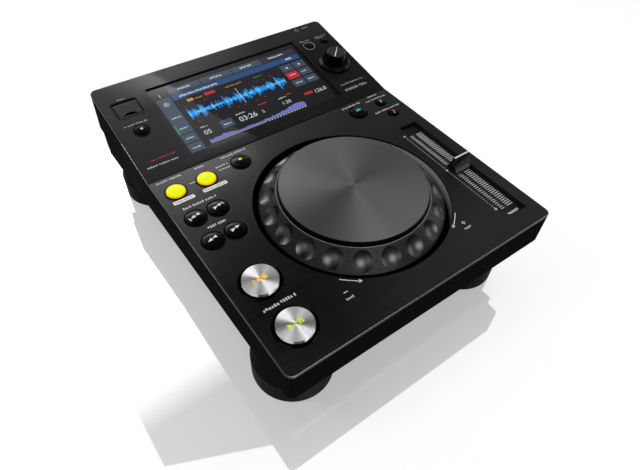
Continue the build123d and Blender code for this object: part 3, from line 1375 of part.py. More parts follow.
# USB device socket: square shell with a tongue in the middle
with BuildPart() as usb_device_socket:
    with BuildSketch(rear_face(SOCKET_FACE)):
        with Locations((USB_B_X, BOARD_Z + USB_B_H / 2)):
            Rectangle(USB_B_W, USB_B_H)
    extrude(amount=USB_B_L)
    with BuildSketch(rear_face(SOCKET_FACE)):
        with Locations((USB_B_X, BOARD_Z + USB_B_H / 2)):
            Rectangle(USB_B_HOLE, USB_B_HOLE)
    extrude(amount=USB_B_DEPTH, mode=Mode.SUBTRACT)
    with BuildSketch(rear_face(SOCKET_FACE - SOCKET_SET_BACK)):
        with Locations((USB_B_X, BOARD_Z + USB_B_H / 2)):
            Rectangle(*USB_B_TONGUE)
    extrude(amount=USB_B_DEPTH - SOCKET_SET_BACK)
save(usb_device_socket, "usb_device_socket")

# Audio sockets: two barrels through the rear panel, each with a body on the main board
AUDIO_FACE = SHEET_FRONT + PANEL_SHEET_T + AUDIO_BARREL_L
with BuildPart() as audio_sockets:
    for audio_x in (AUDIO_X, AUDIO_X + AUDIO_PITCH):
        with BuildSketch(rear_face(SHEET_FRONT)):
            with Locations((audio_x, (BOARD_Z + SOCKET_Z + AUDIO_BODY / 2) / 2)):
                Rectangle(AUDIO_BODY, SOCKET_Z + AUDIO_BODY / 2 - BOARD_Z)
        extrude(amount=AUDIO_BODY_L)
        with BuildSketch(rear_face(AUDIO_FACE)):
            with Locations((audio_x, SOCKET_Z)):
                Circle(AUDIO_R)
        extrude(amount=AUDIO_BARREL_L)
        with BuildSketch(rear_face(SHEET_FRONT + PANEL_SHEET_T)):
            with Locations((audio_x, SOCKET_Z)):
                Circle(AUDIO_NECK_R)
        extrude(amount=PANEL_SHEET_T)
        with BuildSketch(rear_face(AUDIO_FACE)):
            with Locations((audio_x, SOCKET_Z)):
                Circle(AUDIO_R - AUDIO_BARREL_WALL)
        extrude(amount=AUDIO_DISH, mode=Mode.SUBTRACT)
        with BuildSketch(rear_face(AUDIO_FACE)):
            with Locations((audio_x, SOCKET_Z)):
                Circle(AUDIO_PIN_R)
        extrude(amount=AUDIO_PIN_L, mode=Mode.SUBTRACT)
save(audio_sockets, "audio_sockets")

# Mains inlet: two-pole socket with a flange on the rear panel
with BuildPart() as mains_inlet:
    with BuildSketch(rear_face(SOCKET_FACE)):
        with Locations((INLET_X, SOCKET_Z)):
            Rectangle(INLET_W, INLET_H)
    extrude(amount=INLET_L)
    with BuildSketch(rear_face(SHEET_FRONT)):
        with Locations((INLET_X, SOCKET_Z)):
            Rectangle(INLET_W + 2 * INLET_FLANGE, INLET_H + 2 * INLET_FLANGE_RISE)
    extrude(amount=INLET_FLANGE_T)
    with BuildSketch(rear_face(SOCKET_FACE)):
        with Locations((INLET_X, SOCKET_Z)):
            SlotCenterToCenter(INLET_PITCH, 2 * INLET_LOBE_R)
    extrude(amount=INLET_DEPTH, mode=Mode.SUBTRACT)
    with BuildSketch(rear_face(SOCKET_FACE - INLET_DEPTH)):
        with Locations((INLET_X, SOCKET_Z)):
            with GridLocations(INLET_PITCH, 1, 2, 1):
                Circle(INLET_PIN_R)
    extrude(amount=-INLET_PIN_L)
save(mains_inlet, "mains_inlet")

# Power switch behind the rear panel and the push button on it
switch_back = SHEET_FRONT
with BuildPart() as power_switch:
    with BuildSketch(rear_face(switch_back)):
        with Locations((POWER_X, BOARD_Z + (LAN_H + SWITCH_T) / 4)):
            Rectangle(SWITCH_W, (LAN_H + SWITCH_T) / 2)
    extrude(amount=SWITCH_L)
    with BuildSketch(rear_face(switch_back)):
        with Locations((POWER_X, SOCKET_Z)):
            Rectangle(POWER_W + 2 * GAP, POWER_H + 2 * GAP)
    extrude(amount=POWER_STEM + POWER_PRESS + GAP, mode=Mode.SUBTRACT)
save(power_switch, "power_switch")

with BuildPart() as power_button:
    with BuildSketch(rear_face(JACK_Y + POWER_PROUD)):
        with Locations((POWER_X, SOCKET_Z)):
            RectangleRounded(POWER_W, POWER_H, POWER_ROUND)
    extrude(amount=JACK_Y + POWER_PROUD - switch_back + POWER_STEM)
save(power_button, "power_button")
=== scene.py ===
"""Looks of a table-top DJ media player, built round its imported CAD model. Metres, in the CAD frame."""

import math
import random

import bmesh
import bpy
from mathutils import Matrix, Quaternion, Vector


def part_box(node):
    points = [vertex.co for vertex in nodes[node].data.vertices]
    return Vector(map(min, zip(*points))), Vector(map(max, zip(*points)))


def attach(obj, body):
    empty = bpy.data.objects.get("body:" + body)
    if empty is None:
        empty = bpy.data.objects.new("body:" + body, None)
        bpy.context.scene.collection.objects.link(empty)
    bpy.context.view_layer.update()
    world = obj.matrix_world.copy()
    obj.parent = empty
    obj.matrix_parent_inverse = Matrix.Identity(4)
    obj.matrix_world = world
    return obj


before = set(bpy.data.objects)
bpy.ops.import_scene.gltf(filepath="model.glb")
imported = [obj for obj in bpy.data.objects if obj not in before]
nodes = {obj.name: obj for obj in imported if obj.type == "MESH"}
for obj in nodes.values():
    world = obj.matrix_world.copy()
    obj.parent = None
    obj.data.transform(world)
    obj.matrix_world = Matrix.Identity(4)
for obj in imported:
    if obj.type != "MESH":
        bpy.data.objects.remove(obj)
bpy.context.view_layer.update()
draw = random.Random(7)

MM = 0.001

# Planes of the deck and of the tilted panel, drawn on in millimetres
TILT = math.radians(9.7)
CREASE_GAP = 0.2 * MM
DECK_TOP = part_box("deck_plate")[1].z
CREASE_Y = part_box("deck_plate")[1].y + CREASE_GAP
TO_MM = Matrix.Scale(MM, 4)
DECK = Matrix.Translation((0, 0, DECK_TOP)) @ TO_MM
PANEL = Matrix.Translation((0, CREASE_Y, DECK_TOP)) @ Matrix.Rotation(TILT, 4, "X") @ TO_MM

# Jog ring, in millimetres: cone from its foot to its rim about the middle, and its finger dimples
RING_R, RING_TOP_R, RING_LOW, RING_HIGH = 66.8, 54.4, -2.3, 9.8
DIMPLES, DIMPLE_START = 20, 4.0
DIMPLE_STEP = 360.0 / DIMPLES
DIMPLE_R, DIMPLE_EDGE_R = 6.9, 7.4


def middle_of(name):
    """Middle of a CAD node's box, in metres."""
    low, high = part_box(name)
    return (low + high) / 2


def centre(name, plane):
    """Middle of a CAD node on the plane, in millimetres."""
    middle = plane.inverted() @ middle_of(name)
    return middle.x, middle.y


# Shader nodes


def node(tree, kind, links=None, **values):
    """New node; values are its properties or input names, links its input links."""
    made = tree.nodes.new("ShaderNode" + kind)
    for key, value in values.items():
        if hasattr(made, key):
            setattr(made, key, value)
        else:
            made.inputs[key].default_value = value
    for key, source in (links or {}).items():
        tree.links.new(source, made.inputs[key])
    return made


def calc(tree, operation, *values, kind="Math", result="Value"):
    """Result of a Math or VectorMath node on values that are sockets or constants."""
    made = node(tree, kind, operation=operation)
    for socket, value in zip(made.inputs, values):
        if isinstance(value, bpy.types.NodeSocket):
            tree.links.new(value, socket)
        else:
            socket.default_value = value
    return made.outputs[result]


def vector_calc(tree, operation, *values, result="Value"):
    return calc(tree, operation, *values, kind="VectorMath", result=result)


def chain(tree, operation, *values):
    """Values joined one after the other by a Math operation."""
    total, *rest = values
    for value in rest:
        total = calc(tree, operation, total, value)
    return total


def mix_color(tree, factor, first, second):
    """Mix of two colours, each a tuple or a socket; returns its colour output."""
    made = node(tree, "Mix", {0: factor}, data_type="RGBA")
    for socket, value in ((made.inputs[6], first), (made.inputs[7], second)):
        if isinstance(value, tuple):
            socket.default_value = (*value, 1.0)
        else:
            tree.links.new(value, socket)
    return made.outputs[2]


def mix_value(tree, factor, first, number):
    """Mix of a socket's value with a number."""
    made = node(tree, "Mix", {0: factor, 2: first})
    made.inputs[3].default_value = number
    return made.outputs[0]


def spread(tree, value, low, high, to_low=0.0, to_high=1.0):
    """Map a value from one range to another, held at its ends."""
    made = node(tree, "MapRange", {"Value": value})
    for key, number in (("From Min", low), ("From Max", high), ("To Min", to_low), ("To Max", to_high)):
        made.inputs[key].default_value = number
    return made.outputs[0]


def own_place(tree):
    """Coordinates of the object itself."""
    return node(tree, "TexCoord").outputs["Object"]


def parts_of(tree, vector):
    """A vector's outputs X, Y and Z."""
    return node(tree, "SeparateXYZ", {"Vector": vector}).outputs


def normal_of(tree, kind="True Normal"):
    return parts_of(tree, node(tree, "NewGeometry").outputs[kind])


def flat_offset(tree, middle):
    """Offset from the middle, seen from above."""
    offset = vector_calc(tree, "SUBTRACT", own_place(tree), middle, result="Vector")
    return vector_calc(tree, "MULTIPLY", offset, (1, 1, 0), result="Vector")


def noise(tree, scale, stretch=(1, 1, 1), detail=3.0):
    """Noise over the object's own coordinates."""
    mapping = node(tree, "Mapping", {"Vector": own_place(tree)}, Scale=stretch)
    return node(tree, "TexNoise", {"Vector": mapping.outputs[0]}, Scale=scale, Detail=detail).outputs["Fac"]


# Materials
SOCKETS = {
    "rough": "Roughness",
    "metal": "Metallic",
    "spec": "Specular IOR Level",
    "aniso": "Anisotropic",
    "turn": "Anisotropic Rotation",
    "glow": "Emission Strength",
}
MID_NOISE = (0.3, 0.7)
PATCH_SCALE = 35.0


def empty_material(name):
    """New material with no nodes; returns it with its tree."""
    made = bpy.data.materials.new(name)
    made.use_nodes = True
    made.node_tree.nodes.clear()
    return made, made.node_tree


def material(name, **values):
    """New material with one Principled shader; returns it with its tree and shader."""
    made, tree = empty_material(name)
    shader = node(tree, "BsdfPrincipled")
    node(tree, "OutputMaterial", {"Surface": shader.outputs[0]})
    for key, value in values.items():
        shader.inputs[SOCKETS[key]].default_value = value
    return made, tree, shader


def shader_of(made):
    return next(n for n in made.node_tree.nodes if n.type == "BSDF_PRINCIPLED")


def feed(shader, key, source):
    shader.id_data.links.new(source, shader.inputs[key])


def fed_by(shader, key):
    return shader.inputs[key].links[0].from_socket


def scaled(color, share):
    return tuple(min(1.0, c * share) for c in color)


def shades(color, tint):
    """Darker and lighter shade of a colour."""
    return scaled(color, 1 - tint), scaled(color, 1 + tint)


def relief(tree, height, strength, depth):
    """Bumped normal; the depth is in millimetres."""
    return node(tree, "Bump", {"Height": height}, Strength=strength, Distance=depth * MM).outputs[0]


def grained(
    name, color, rough, scale=2500.0, stretch=(1, 1, 1), tint=0.25, smudge=0.05, bump=0.08, depth=0.05, **shading
):
    """Surface with a fine grain in colour and relief, and faint uneven gloss."""
    made, tree, shader = material(name, **shading)
    grain = noise(tree, scale, stretch)
    patches = noise(tree, PATCH_SCALE)
    feed(shader, "Base Color", mix_color(tree, grain, *shades(color, tint)))
    feed(shader, "Roughness", spread(tree, patches, *MID_NOISE, rough - smudge, rough + smudge))
    feed(shader, "Normal", relief(tree, grain, bump, depth))
    return made


def bright_chamfer(made, edge_color, edge_rough, above):
    """Bare metal on the upper part of the faces that lean between flat and upright, with a painted highlight:
    brightest along the front, dimmer on the sides.
    """
    tree, shader = made.node_tree, shader_of(made)
    lean, lean_range, fade, side_share = 0.7, 0.15, 0.00005, 0.25
    normal = normal_of(tree)
    height = parts_of(tree, own_place(tree))["Z"]
    leaning = calc(tree, "COMPARE", normal["Z"], lean, lean_range)
    bare = chain(tree, "MULTIPLY", leaning, spread(tree, height, above - fade, above))
    bare_edge_and_highlight = mix_color(tree, spread(tree, normal["Y"], -0.6, -0.3), edge_color, scaled(edge_color, side_share))
    feed(shader, "Base Color", mix_color(tree, bare, fed_by(shader, "Base Color"), bare_edge_and_highlight))
    feed(shader, "Roughness", mix_value(tree, bare, fed_by(shader, "Roughness"), edge_rough))
    feed(shader, "Metallic", bare)


def brushed(made, pale):
    """Paler streaks along the front edge, as on brushed sheet."""
    tree, shader = made.node_tree, shader_of(made)
    streaks = spread(tree, noise(tree, 1.0, (22.0, 1300.0, 1300.0)), 0.35, 0.65)
    feed(shader, "Base Color", mix_color(tree, streaks, fed_by(shader, "Base Color"), pale))


def painted_light_wall(made, painted_light_color):
    """Painted light: paler upright faces on the right of a well, standing for light that falls on that wall."""
    tree, shader = made.node_tree, shader_of(made)
    normal = normal_of(tree)
    upright = spread(tree, calc(tree, "ABSOLUTE", normal["Z"]), 0.2, 0.3, 1.0, 0.0)
    wall = chain(tree, "MULTIPLY", upright, spread(tree, normal["X"], -0.97, -0.6, 1.0, 0.0))
    feed(shader, "Base Color", mix_color(tree, wall, fed_by(shader, "Base Color"), painted_light_color))


def spun(name, color, rough, aniso, middle, grooves=900.0, tint=0.15, rim=0.1, highlight_rays=None):
    """Turned metal: fine rings about the middle and the glint that follows them, sides darker than the top as painted
    shade, and where asked a painted highlight in four bright and dark sectors.
    """
    made, tree, shader = material(name, metal=1.0, aniso=aniso, turn=0.25)
    feed(shader, "Tangent", node(tree, "Tangent", direction_type="RADIAL", axis="Z").outputs[0])
    flat = flat_offset(tree, middle)
    radius = vector_calc(tree, "LENGTH", flat)
    rings = node(tree, "TexNoise", {"W": radius}, noise_dimensions="1D", Scale=grooves, Detail=4.0).outputs["Fac"]
    top = mix_color(tree, rings, *shades(color, tint))
    edge = scaled(color, rim)
    # Painted highlight: the top is darkened in four sectors between bright ones, and the sides with them, standing
    # for the reflection of spun metal.
    if highlight_rays:
        along, across = (vector_calc(tree, "DOT_PRODUCT", flat, (*axis, 0)) for axis in highlight_rays)
        angle = calc(tree, "ARCTAN2", across, along)
        wave = calc(tree, "COSINE", calc(tree, "MULTIPLY", angle, 4.0))
        top = mix_color(tree, spread(tree, wave, -0.8, 0.9), top, scaled(color, 0.3))
        edge = mix_color(tree, spread(tree, wave, 0.2, 0.6), edge, scaled(color, 0.08))
    # Painted shade: the sides get the colour scaled down by the rim share, darker than the top.
    facing_up = spread(tree, normal_of(tree)["Z"], 0.85, 0.92)
    feed(shader, "Base Color", mix_color(tree, facing_up, edge, top))
    feed(shader, "Roughness", spread(tree, rings, *MID_NOISE, rough - 0.03, rough + 0.03))
    feed(shader, "Normal", relief(tree, rings, 0.02, 0.01))
    return made


def dished(name, middle):
    """Jog ring: satin cone with glossy finger dimples, found by their places round the ring."""
    made = grained(name, (0.006, 0.006, 0.0063), 0.4, scale=3000.0, tint=0.15, smudge=0.03, bump=0.04, spec=0.1)
    dimple_color, dimple_rough = (0.036, 0.036, 0.0365), 0.3
    tree, shader = made.node_tree, shader_of(made)
    flat = flat_offset(tree, middle)
    radius = vector_calc(tree, "LENGTH", flat)
    offset = parts_of(tree, flat)
    angle = calc(tree, "ARCTAN2", offset["Y"], offset["X"])
    half_step = math.radians(DIMPLE_STEP / 2)
    past_start = calc(tree, "SUBTRACT", angle, math.radians(DIMPLE_START))
    arc = calc(tree, "MULTIPLY", calc(tree, "WRAP", past_start, half_step, -half_step), radius)
    outward = calc(tree, "SUBTRACT", radius, (RING_R + RING_TOP_R) / 2 * MM)
    down_slope = calc(tree, "MULTIPLY", outward, math.sqrt(2))
    place = node(tree, "CombineXYZ", {"X": arc, "Y": down_slope})
    away = vector_calc(tree, "LENGTH", place.outputs[0])
    inside = spread(tree, away, DIMPLE_R * MM, DIMPLE_EDGE_R * MM, 1.0, 0.0)
    feed(shader, "Roughness", mix_value(tree, inside, fed_by(shader, "Roughness"), dimple_rough))
    feed(shader, "Base Color", mix_color(tree, inside, fed_by(shader, "Base Color"), dimple_color))
    feed(shader, "Metallic", inside)
    return made


def lit(name, color, strength, edge=None):
    """Lamp-lit plastic: it glows in its own colour, a little unevenly, and in a deeper colour where it slopes, which
    is painted shade.
    """
    made, tree, shader = material(name, spec=0.04, rough=0.3, glow=strength)
    shader.inputs["Base Color"].default_value = (*scaled(color, 0.1), 1.0)
    mixed = mix_color(tree, noise(tree, 900.0), scaled(color, 0.9), color)
    # Painted shade: the sloping edge of the dome glows in the deeper edge colour.
    if edge:
        flat_top = spread(tree, normal_of(tree, "Normal")["Z"], 0.917, 0.938)
        mixed = mix_color(tree, flat_top, edge, mixed)
    feed(shader, "Emission Color", mixed)
    return made


def screen_color(name, color):
    """Part of the screen's picture: fine pixel rows behind glossy glass."""
    made, tree, shader = material(name, spec=0.06, rough=0.06, glow=1.0)
    shader.inputs["Base Color"].default_value = (0.003, 0.003, 0.004, 1)
    rows = noise(tree, 1.0, (2500.0, 9000.0, 9000.0), 1.0)
    feed(shader, "Emission Color", mix_color(tree, rows, scaled(color, 0.85), color))
    return made


CASE_BLACK = grained("case_black", (0.008, 0.008, 0.0082), 0.5, spec=0.0001)
DECK_BLACK = grained(
    "deck_brushed", (0.0015, 0.0015, 0.0016), 0.34, scale=1.0, stretch=(25.0, 2600.0, 2600.0),
    tint=0.5, bump=0.15, depth=0.03, spec=0.125,
)
brushed(DECK_BLACK, (0.005, 0.005, 0.0051))
bright_chamfer(DECK_BLACK, (0.26, 0.26, 0.261), 0.35, 0.07883)
PANEL_BLACK = grained("panel_satin", (0.0085, 0.0085, 0.0087), 0.12, tint=0.2, smudge=0.03, bump=0.02, spec=0.045)
LID_BLACK = grained("lid_satin", (0.012, 0.012, 0.0123), 0.45, tint=0.2, bump=0.05, spec=0.035)
PAN_BLACK = grained("pan_powder_coat", (0.012, 0.012, 0.0125), 0.55, scale=1800.0, bump=0.2, spec=0.15)
FOOT_BLACK = grained("foot_rubber", (0.007, 0.007, 0.0072), 0.55, scale=1500.0, bump=0.15, spec=0.012)
PAD_BLACK = grained("pad_rubber", (0.01, 0.01, 0.01), 0.8, scale=900.0, bump=0.3, spec=0.1)
BLACK_STEEL = grained("black_steel", (0.02, 0.02, 0.021), 0.4, scale=1500.0, tint=0.2, spec=0.2)
STEEL = grained("steel", (0.55, 0.55, 0.56), 0.3, scale=1500.0, tint=0.12, metal=1.0)
ZINC = grained("zinc_sheet", (0.6, 0.6, 0.61), 0.38, scale=500.0, tint=0.15, metal=1.0)
NICKEL = grained("nickel", (0.7, 0.68, 0.64), 0.22, scale=1200.0, tint=0.08, metal=1.0)
BRASS = grained("brass", (0.7, 0.5, 0.2), 0.3, scale=1500.0, tint=0.1, metal=1.0)
BOARD = grained("circuit_board", (0.015, 0.11, 0.05), 0.45, scale=700.0, tint=0.35)
MOULDED = grained("moulded_black", (0.015, 0.015, 0.015), 0.5, scale=2000.0, spec=0.3)
WELL_BLACK = grained("well_black", (0.0012, 0.0012, 0.0013), 0.4, scale=2000.0, bump=0.03, spec=0.0)
# Painted light: the well's right wall is pale grey where light falls on it
painted_light_wall(WELL_BLACK, (0.5, 0.5, 0.5))
TROUGH_BLACK = grained("trough_black", (0.011, 0.011, 0.0113), 0.45, scale=2000.0, spec=0.05)
POLISH = {"tint": 0.1, "smudge": 0.02, "bump": 0.01}
GLOSS = grained("gloss_black", (0.0025, 0.0025, 0.0028), 0.09, spec=0.035, **POLISH)
BEZEL = grained("bezel_black", (0.0012, 0.0012, 0.0013), 0.16, spec=0.012, **POLISH)
STUD = grained("stud_black", (0.004, 0.004, 0.0043), 0.16, spec=0.15, **POLISH)
COLLAR = grained("collar_black", (0.003, 0.003, 0.0033), 0.1, spec=0.04, **POLISH)
KNOB = grained("knob_black", (0.007, 0.007, 0.0073), 0.22, tint=0.2, bump=0.02, spec=0.45)
KNOB_CAP = spun("knob_cap", (0.03, 0.03, 0.031), 0.4, 0.85, middle_of("selector_knob"), 1500.0, 0.1, 0.06)
JOG_GREY = dished("jog_grey", middle_of("jog_plate"))
# The jog plate's side is painted near black: painted shade.
JOG_METAL = spun("jog_spun_metal", (0.11, 0.11, 0.111), 0.5, 0.72, middle_of("jog_plate"), rim=0.02)
# The four painted highlight sectors of the silver caps lie along two slanting axes
PAINTED_HIGHLIGHT_RAYS = ((0.953, -0.3754), (0.5726, 0.8492))
SILVER = (0.92, 0.92, 0.915)
SILVER_CUE = spun("silver_cue", SILVER, 0.5, 0.95, middle_of("cue_button"), 1500.0, 0.05, 1.0, PAINTED_HIGHLIGHT_RAYS)
SILVER_PLAY = spun("silver_play", SILVER, 0.5, 0.95, middle_of("play_button"), 1500.0, 0.05, 1.0, PAINTED_HIGHLIGHT_RAYS)
GLASS = grained("screen_glass", (0.004, 0.004, 0.005), 0.06, tint=0.1, smudge=0.02, bump=0.0, spec=0.08)
LCD = grained("lcd_dark", (0.01, 0.012, 0.015), 0.3)
INK = {"scale": 3000.0, "tint": 0.1, "spec": 0.1}
PRINT = grained("white_print", (0.72, 0.72, 0.72), 0.5, **INK)
LEGEND = grained("legend_print", (0.55, 0.55, 0.55), 0.5, **INK)
RED_PRINT = grained("red_print", (0.3, 0.012, 0.03), 0.5, **INK)
# The grey and dim inks give real print and also painted highlights: the jog rim line and the glints on the bezels and
# round the button pairs
GREY_PRINT_AND_GLINT = grained("grey_print", (0.3, 0.3, 0.3), 0.5, **INK)
DIM_PRINT_AND_GLINT = grained("dim_print_and_glint", (0.035, 0.035, 0.035), 0.4, **INK)
# Loop buttons: the orange is painted shade on the sloping edges of their lit domes
YELLOW = lit("lit_yellow", (0.84, 0.92, 0.003), 0.95, (0.8, 0.4, 0.003))
LED_YELLOW = lit("led_yellow", (0.95, 0.8, 0.01), 1.0)
LED_TEAL = lit("led_teal", (0.01, 0.42, 0.42), 1.0)
LED_RED = lit("led_red", (0.7, 0.02, 0.05), 1.0)
LED_ORANGE = lit("led_orange", (0.95, 0.55, 0.03), 0.95)
LED_GREEN = lit("led_green", (0.56, 0.82, 0.005), 0.95)

# Finish of each CAD node; the small push buttons that aren't listed are gloss black
FINISH = {
    "upper_case": CASE_BLACK, "deck_plate": DECK_BLACK, "display_panel": PANEL_BLACK, "bottom_pan": PAN_BLACK,
    "rear_panel": PAN_BLACK, "foot_pads": PAD_BLACK, "base_screws": BLACK_STEEL, "board_screws": STEEL,
    "touch_glass": GLASS, "lcd_module": LCD, "display_bracket": ZINC, "main_board": BOARD,
    "power_supply_board": BOARD, "control_boards": BOARD, "tact_switches": MOULDED, "button_bezels": BEZEL,
    "jog_well": WELL_BLACK, "jog_spindle": STEEL, "jog_sensor": MOULDED, "jog_ring": JOG_GREY,
    "jog_bearing": BRASS, "jog_encoder_disc": ZINC, "jog_plate": JOG_METAL, "tempo_trough": TROUGH_BLACK,
    "tempo_fader": ZINC, "fader_lever": ZINC, "tempo_knob": KNOB, "selector_collar": COLLAR,
    "selector_encoder": ZINC, "selector_rotor": MOULDED, "selector_shaft": ZINC, "selector_knob": KNOB_CAP,
    "usb_lid": LID_BLACK, "usb_lid_pin": STEEL, "usb_socket": NICKEL, "lan_socket": NICKEL,
    "usb_device_socket": NICKEL, "audio_sockets": NICKEL, "mains_inlet": MOULDED, "power_switch": MOULDED,
    "power_button": KNOB, "cue_button": SILVER_CUE, "play_button": SILVER_PLAY, "loop_in_button": YELLOW,
    "loop_out_button": YELLOW, "usb_stop_button": BEZEL,
}
for name, item in nodes.items():
    finish = FINISH.get(name, FOOT_BLACK if name.startswith("foot_") else GLOSS)
    item.data.materials.clear()
    item.data.materials.append(finish)


# Outlines of prints and marks, in millimetres on a plane


def rectangle(x0, y0, x1, y1):
    return [(x0, y0), (x1, y0), (x1, y1), (x0, y1)]


def on_circle(x, y, radius, angle):
    return x + radius * math.cos(angle), y + radius * math.sin(angle)


def rounded(x0, y0, x1, y1, radius, steps=4):
    """Outline of a rectangle with rounded corners."""
    points = []
    corners = (
        (x1 - radius, y1 - radius, 0), (x0 + radius, y1 - radius, 90),
        (x0 + radius, y0 + radius, 180), (x1 - radius, y0 + radius, 270),
    )
    for cx, cy, start in corners:
        for step in range(steps + 1):
            points.append(on_circle(cx, cy, radius, math.radians(start + 90 * step / steps)))
    return points


def disc(x, y, radius, count=20):
    turn = 2 * math.pi / count
    return [on_circle(x, y, radius, i * turn) for i in range(count)]


def band(x, y, inner, outer, start=0.0, end=360.0, count=48):
    """Ring or arc as a row of quads."""
    quads = []
    for i in range(count):
        a, b = (math.radians(start + (end - start) * k / count) for k in (i, i + 1))
        quads.append([on_circle(x, y, r, angle) for r, angle in ((inner, a), (outer, a), (outer, b), (inner, b))])
    return quads


def outline_band(outer, inner):
    """Frame between two outlines of as many points, as a row of quads."""
    count = len(outer)
    return [[inner[i], outer[i], outer[(i + 1) % count], inner[(i + 1) % count]] for i in range(count)]


def stroke(x0, y0, x1, y1, width):
    """Straight line with a width."""
    dx, dy = x1 - x0, y1 - y0
    length = math.hypot(dx, dy)
    nx, ny = -dy / length * width / 2, dx / length * width / 2
    return [(x0 + nx, y0 + ny), (x0 - nx, y0 - ny), (x1 - nx, y1 - ny), (x1 + nx, y1 + ny)]


# Blocks of a label: how many make a word, their widths and the part of the height that they fill
WORD = (4, 7)
BLOCK_WIDTHS = (0.4, 0.65)
BLOCK_SPANS = ((0.0, 1.0), (0.0, 1.0), (0.0, 0.75), (0.25, 1.0))
WORD_GAP = 2.2
LEAST_BLOCK = 0.4


def legend(x0, x1, y, height=1.5, gap=0.65):
    """Plain broken bar, uneven in height, that marks the place of a label."""
    blocks, x, run = [], x0, draw.randint(*WORD)
    while x < x1 - LEAST_BLOCK:
        width = min(draw.uniform(*BLOCK_WIDTHS) * height, x1 - x)
        foot, head = draw.choice(BLOCK_SPANS)
        blocks.append(rectangle(x, y + foot * height, x + width, y + head * height))
        run -= 1
        x += width + (gap if run else WORD_GAP * gap)
        run = run or draw.randint(*WORD)
    return blocks


def triangle(x, y, size, way, slim=1.0):
    """Arrow head pointing left (-1) or right (1)."""
    base = x - way * size * 0.7
    return [(x + way * size, y), (base, y + size * slim), (base, y - size * slim)]


def turned(outlines, degrees):
    """Outlines turned about the origin."""
    c, s = math.cos(math.radians(degrees)), math.sin(math.radians(degrees))
    return [[(c * x - s * y, s * x + c * y) for x, y in outline] for outline in outlines]


# Pieces


def finish_piece(name, bm, body, finish, smooth=False):
    """Turn the bmesh into a piece that rides on a body."""
    mesh = bpy.data.meshes.new(name)
    bmesh.ops.recalc_face_normals(bm, faces=bm.faces[:])
    bm.to_mesh(mesh)
    bm.free()
    mesh.materials.append(finish)
    for face in mesh.polygons:
        face.use_smooth = smooth
    made = bpy.data.objects.new(name, mesh)
    bpy.context.scene.collection.objects.link(made)
    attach(made, body)
    return made


def cut_up(bm, step):
    """Cut flat faces into a grid, so that they can follow a curved surface."""
    for normal in (Vector((1, 0, 0)), Vector((0, 1, 0))):
        values = [v.co.dot(normal) for v in bm.verts]
        cut = min(values) + step
        while cut < max(values):
            everything = bm.verts[:] + bm.edges[:] + bm.faces[:]
            bmesh.ops.bisect_plane(bm, geom=everything, plane_co=normal * cut, plane_no=normal)
            cut += step


def printed(name, outlines, plane, body, finish, low=0.0, high=0.03, surface=None, step=None):
    """Thin raised print: each outline, in plane millimetres, from low to high above the surface."""
    bm = bmesh.new()
    for outline in outlines:
        bm.faces.new([bm.verts.new((x, y, 0)) for x, y in outline])
    bmesh.ops.remove_doubles(bm, verts=bm.verts[:], dist=1e-4)
    if step:
        cut_up(bm, step)
    grown = bmesh.ops.extrude_face_region(bm, geom=bm.faces[:])
    tops = {v for v in grown["geom"] if isinstance(v, bmesh.types.BMVert)}
    for vert in bm.verts:
        lift = surface(vert.co.x, vert.co.y) if surface else 0.0
        vert.co = plane @ Vector((vert.co.x, vert.co.y, lift + (high if vert in tops else low)))
    return finish_piece(name, bm, body, finish)


def crown(x, y, cap_r, edge, top):
    """Height of a button's crowned top over its plane."""
    return lambda px, py: top - (top - edge) * ((px - x) ** 2 + (py - y) ** 2) / cap_r**2


# Crowned tops of the buttons: radius, height at the edge and height in the middle
SMALL_TOP = (6.9, 1.0, 2.5)
STOP_TOP = (5.3, 1.0, 2.5)
BIG_TOP = (11.7, 2.7, 3.1)
TINY_TOP = (3.8, 0.8, 1.5)
CAP_STEP = 0.6


def on_cap(button, name, outlines, finish, shape=SMALL_TOP, plane=DECK):
    """Mark on a button's crowned top; the outlines are about the button's middle."""
    x, y = centre(button, plane)
    moved = [[(px + x, py + y) for px, py in outline] for outline in outlines]
    return printed(name, moved, plane, button, finish, -0.05, 0.03, crown(x, y, *shape), CAP_STEP)


def digits(text, size, x, y):
    """Outlines of a number, lower left corner at (x, y), as flat triangles."""
    curve = bpy.data.curves.new("digits", "FONT")
    curve.body = text
    curve.size = size
    carrier = bpy.data.objects.new("digits", curve)
    bpy.context.scene.collection.objects.link(carrier)
    bpy.context.view_layer.update()
    mesh = carrier.to_mesh()
    mesh.calc_loop_triangles()
    shapes = []
    for piece in mesh.loop_triangles:
        shapes.append([(x + mesh.vertices[i].co.x, y + mesh.vertices[i].co.y) for i in piece.vertices])
    carrier.to_mesh_clear()
    bpy.data.objects.remove(carrier)
    bpy.data.curves.remove(curve)
    return shapes


# Screen picture: a plain player's page with a layout of its own, in thin layers on the glass
SCREEN_X, SCREEN_S = -70.0, 12.5
SCREEN_W, SCREEN_L = 137.0, 70.8
GLASS_H, LAYER = -1.5, 0.02
SCREEN_COLORS = {
    "screen_border": (0.003, 0.003, 0.0035), "screen_ground": (0.009, 0.009, 0.011),
    "screen_keys": (0.048, 0.072, 0.11), "screen_dark_tab": (0.03, 0.027, 0.045),
    "screen_title_bar": (0.022, 0.07, 0.2), "screen_red": (0.5, 0.025, 0.03), "screen_orange": (0.6, 0.26, 0.03),
    "screen_green": (0.02, 0.28, 0.06), "screen_wave": (0.006, 0.29, 0.85),
    "screen_wave_crest": (0.16, 0.62, 0.95), "screen_overview": (0.16, 0.18, 0.5),
    "screen_white": (0.62, 0.68, 0.72), "screen_sparks": (0.5, 0.1, 0.05),
}


def spot(u, v):
    """Place on the screen from shares of its width and height."""
    return SCREEN_X + u * SCREEN_W, SCREEN_S + v * SCREEN_L


def tile(u0, v0, u1, v1):
    return rectangle(*spot(u0, v0), *spot(u1, v1))


def small_text(u, v, length, height=1.3):
    x, y = spot(u, v)
    return legend(x, x + length, y, height, 0.45)


def screen_print(name, outlines, layer):
    base = GLASS_H + LAYER * layer
    finish = screen_color(name, SCREEN_COLORS[name])
    return printed(name, outlines, PANEL, "chassis", finish, base, base + LAYER)


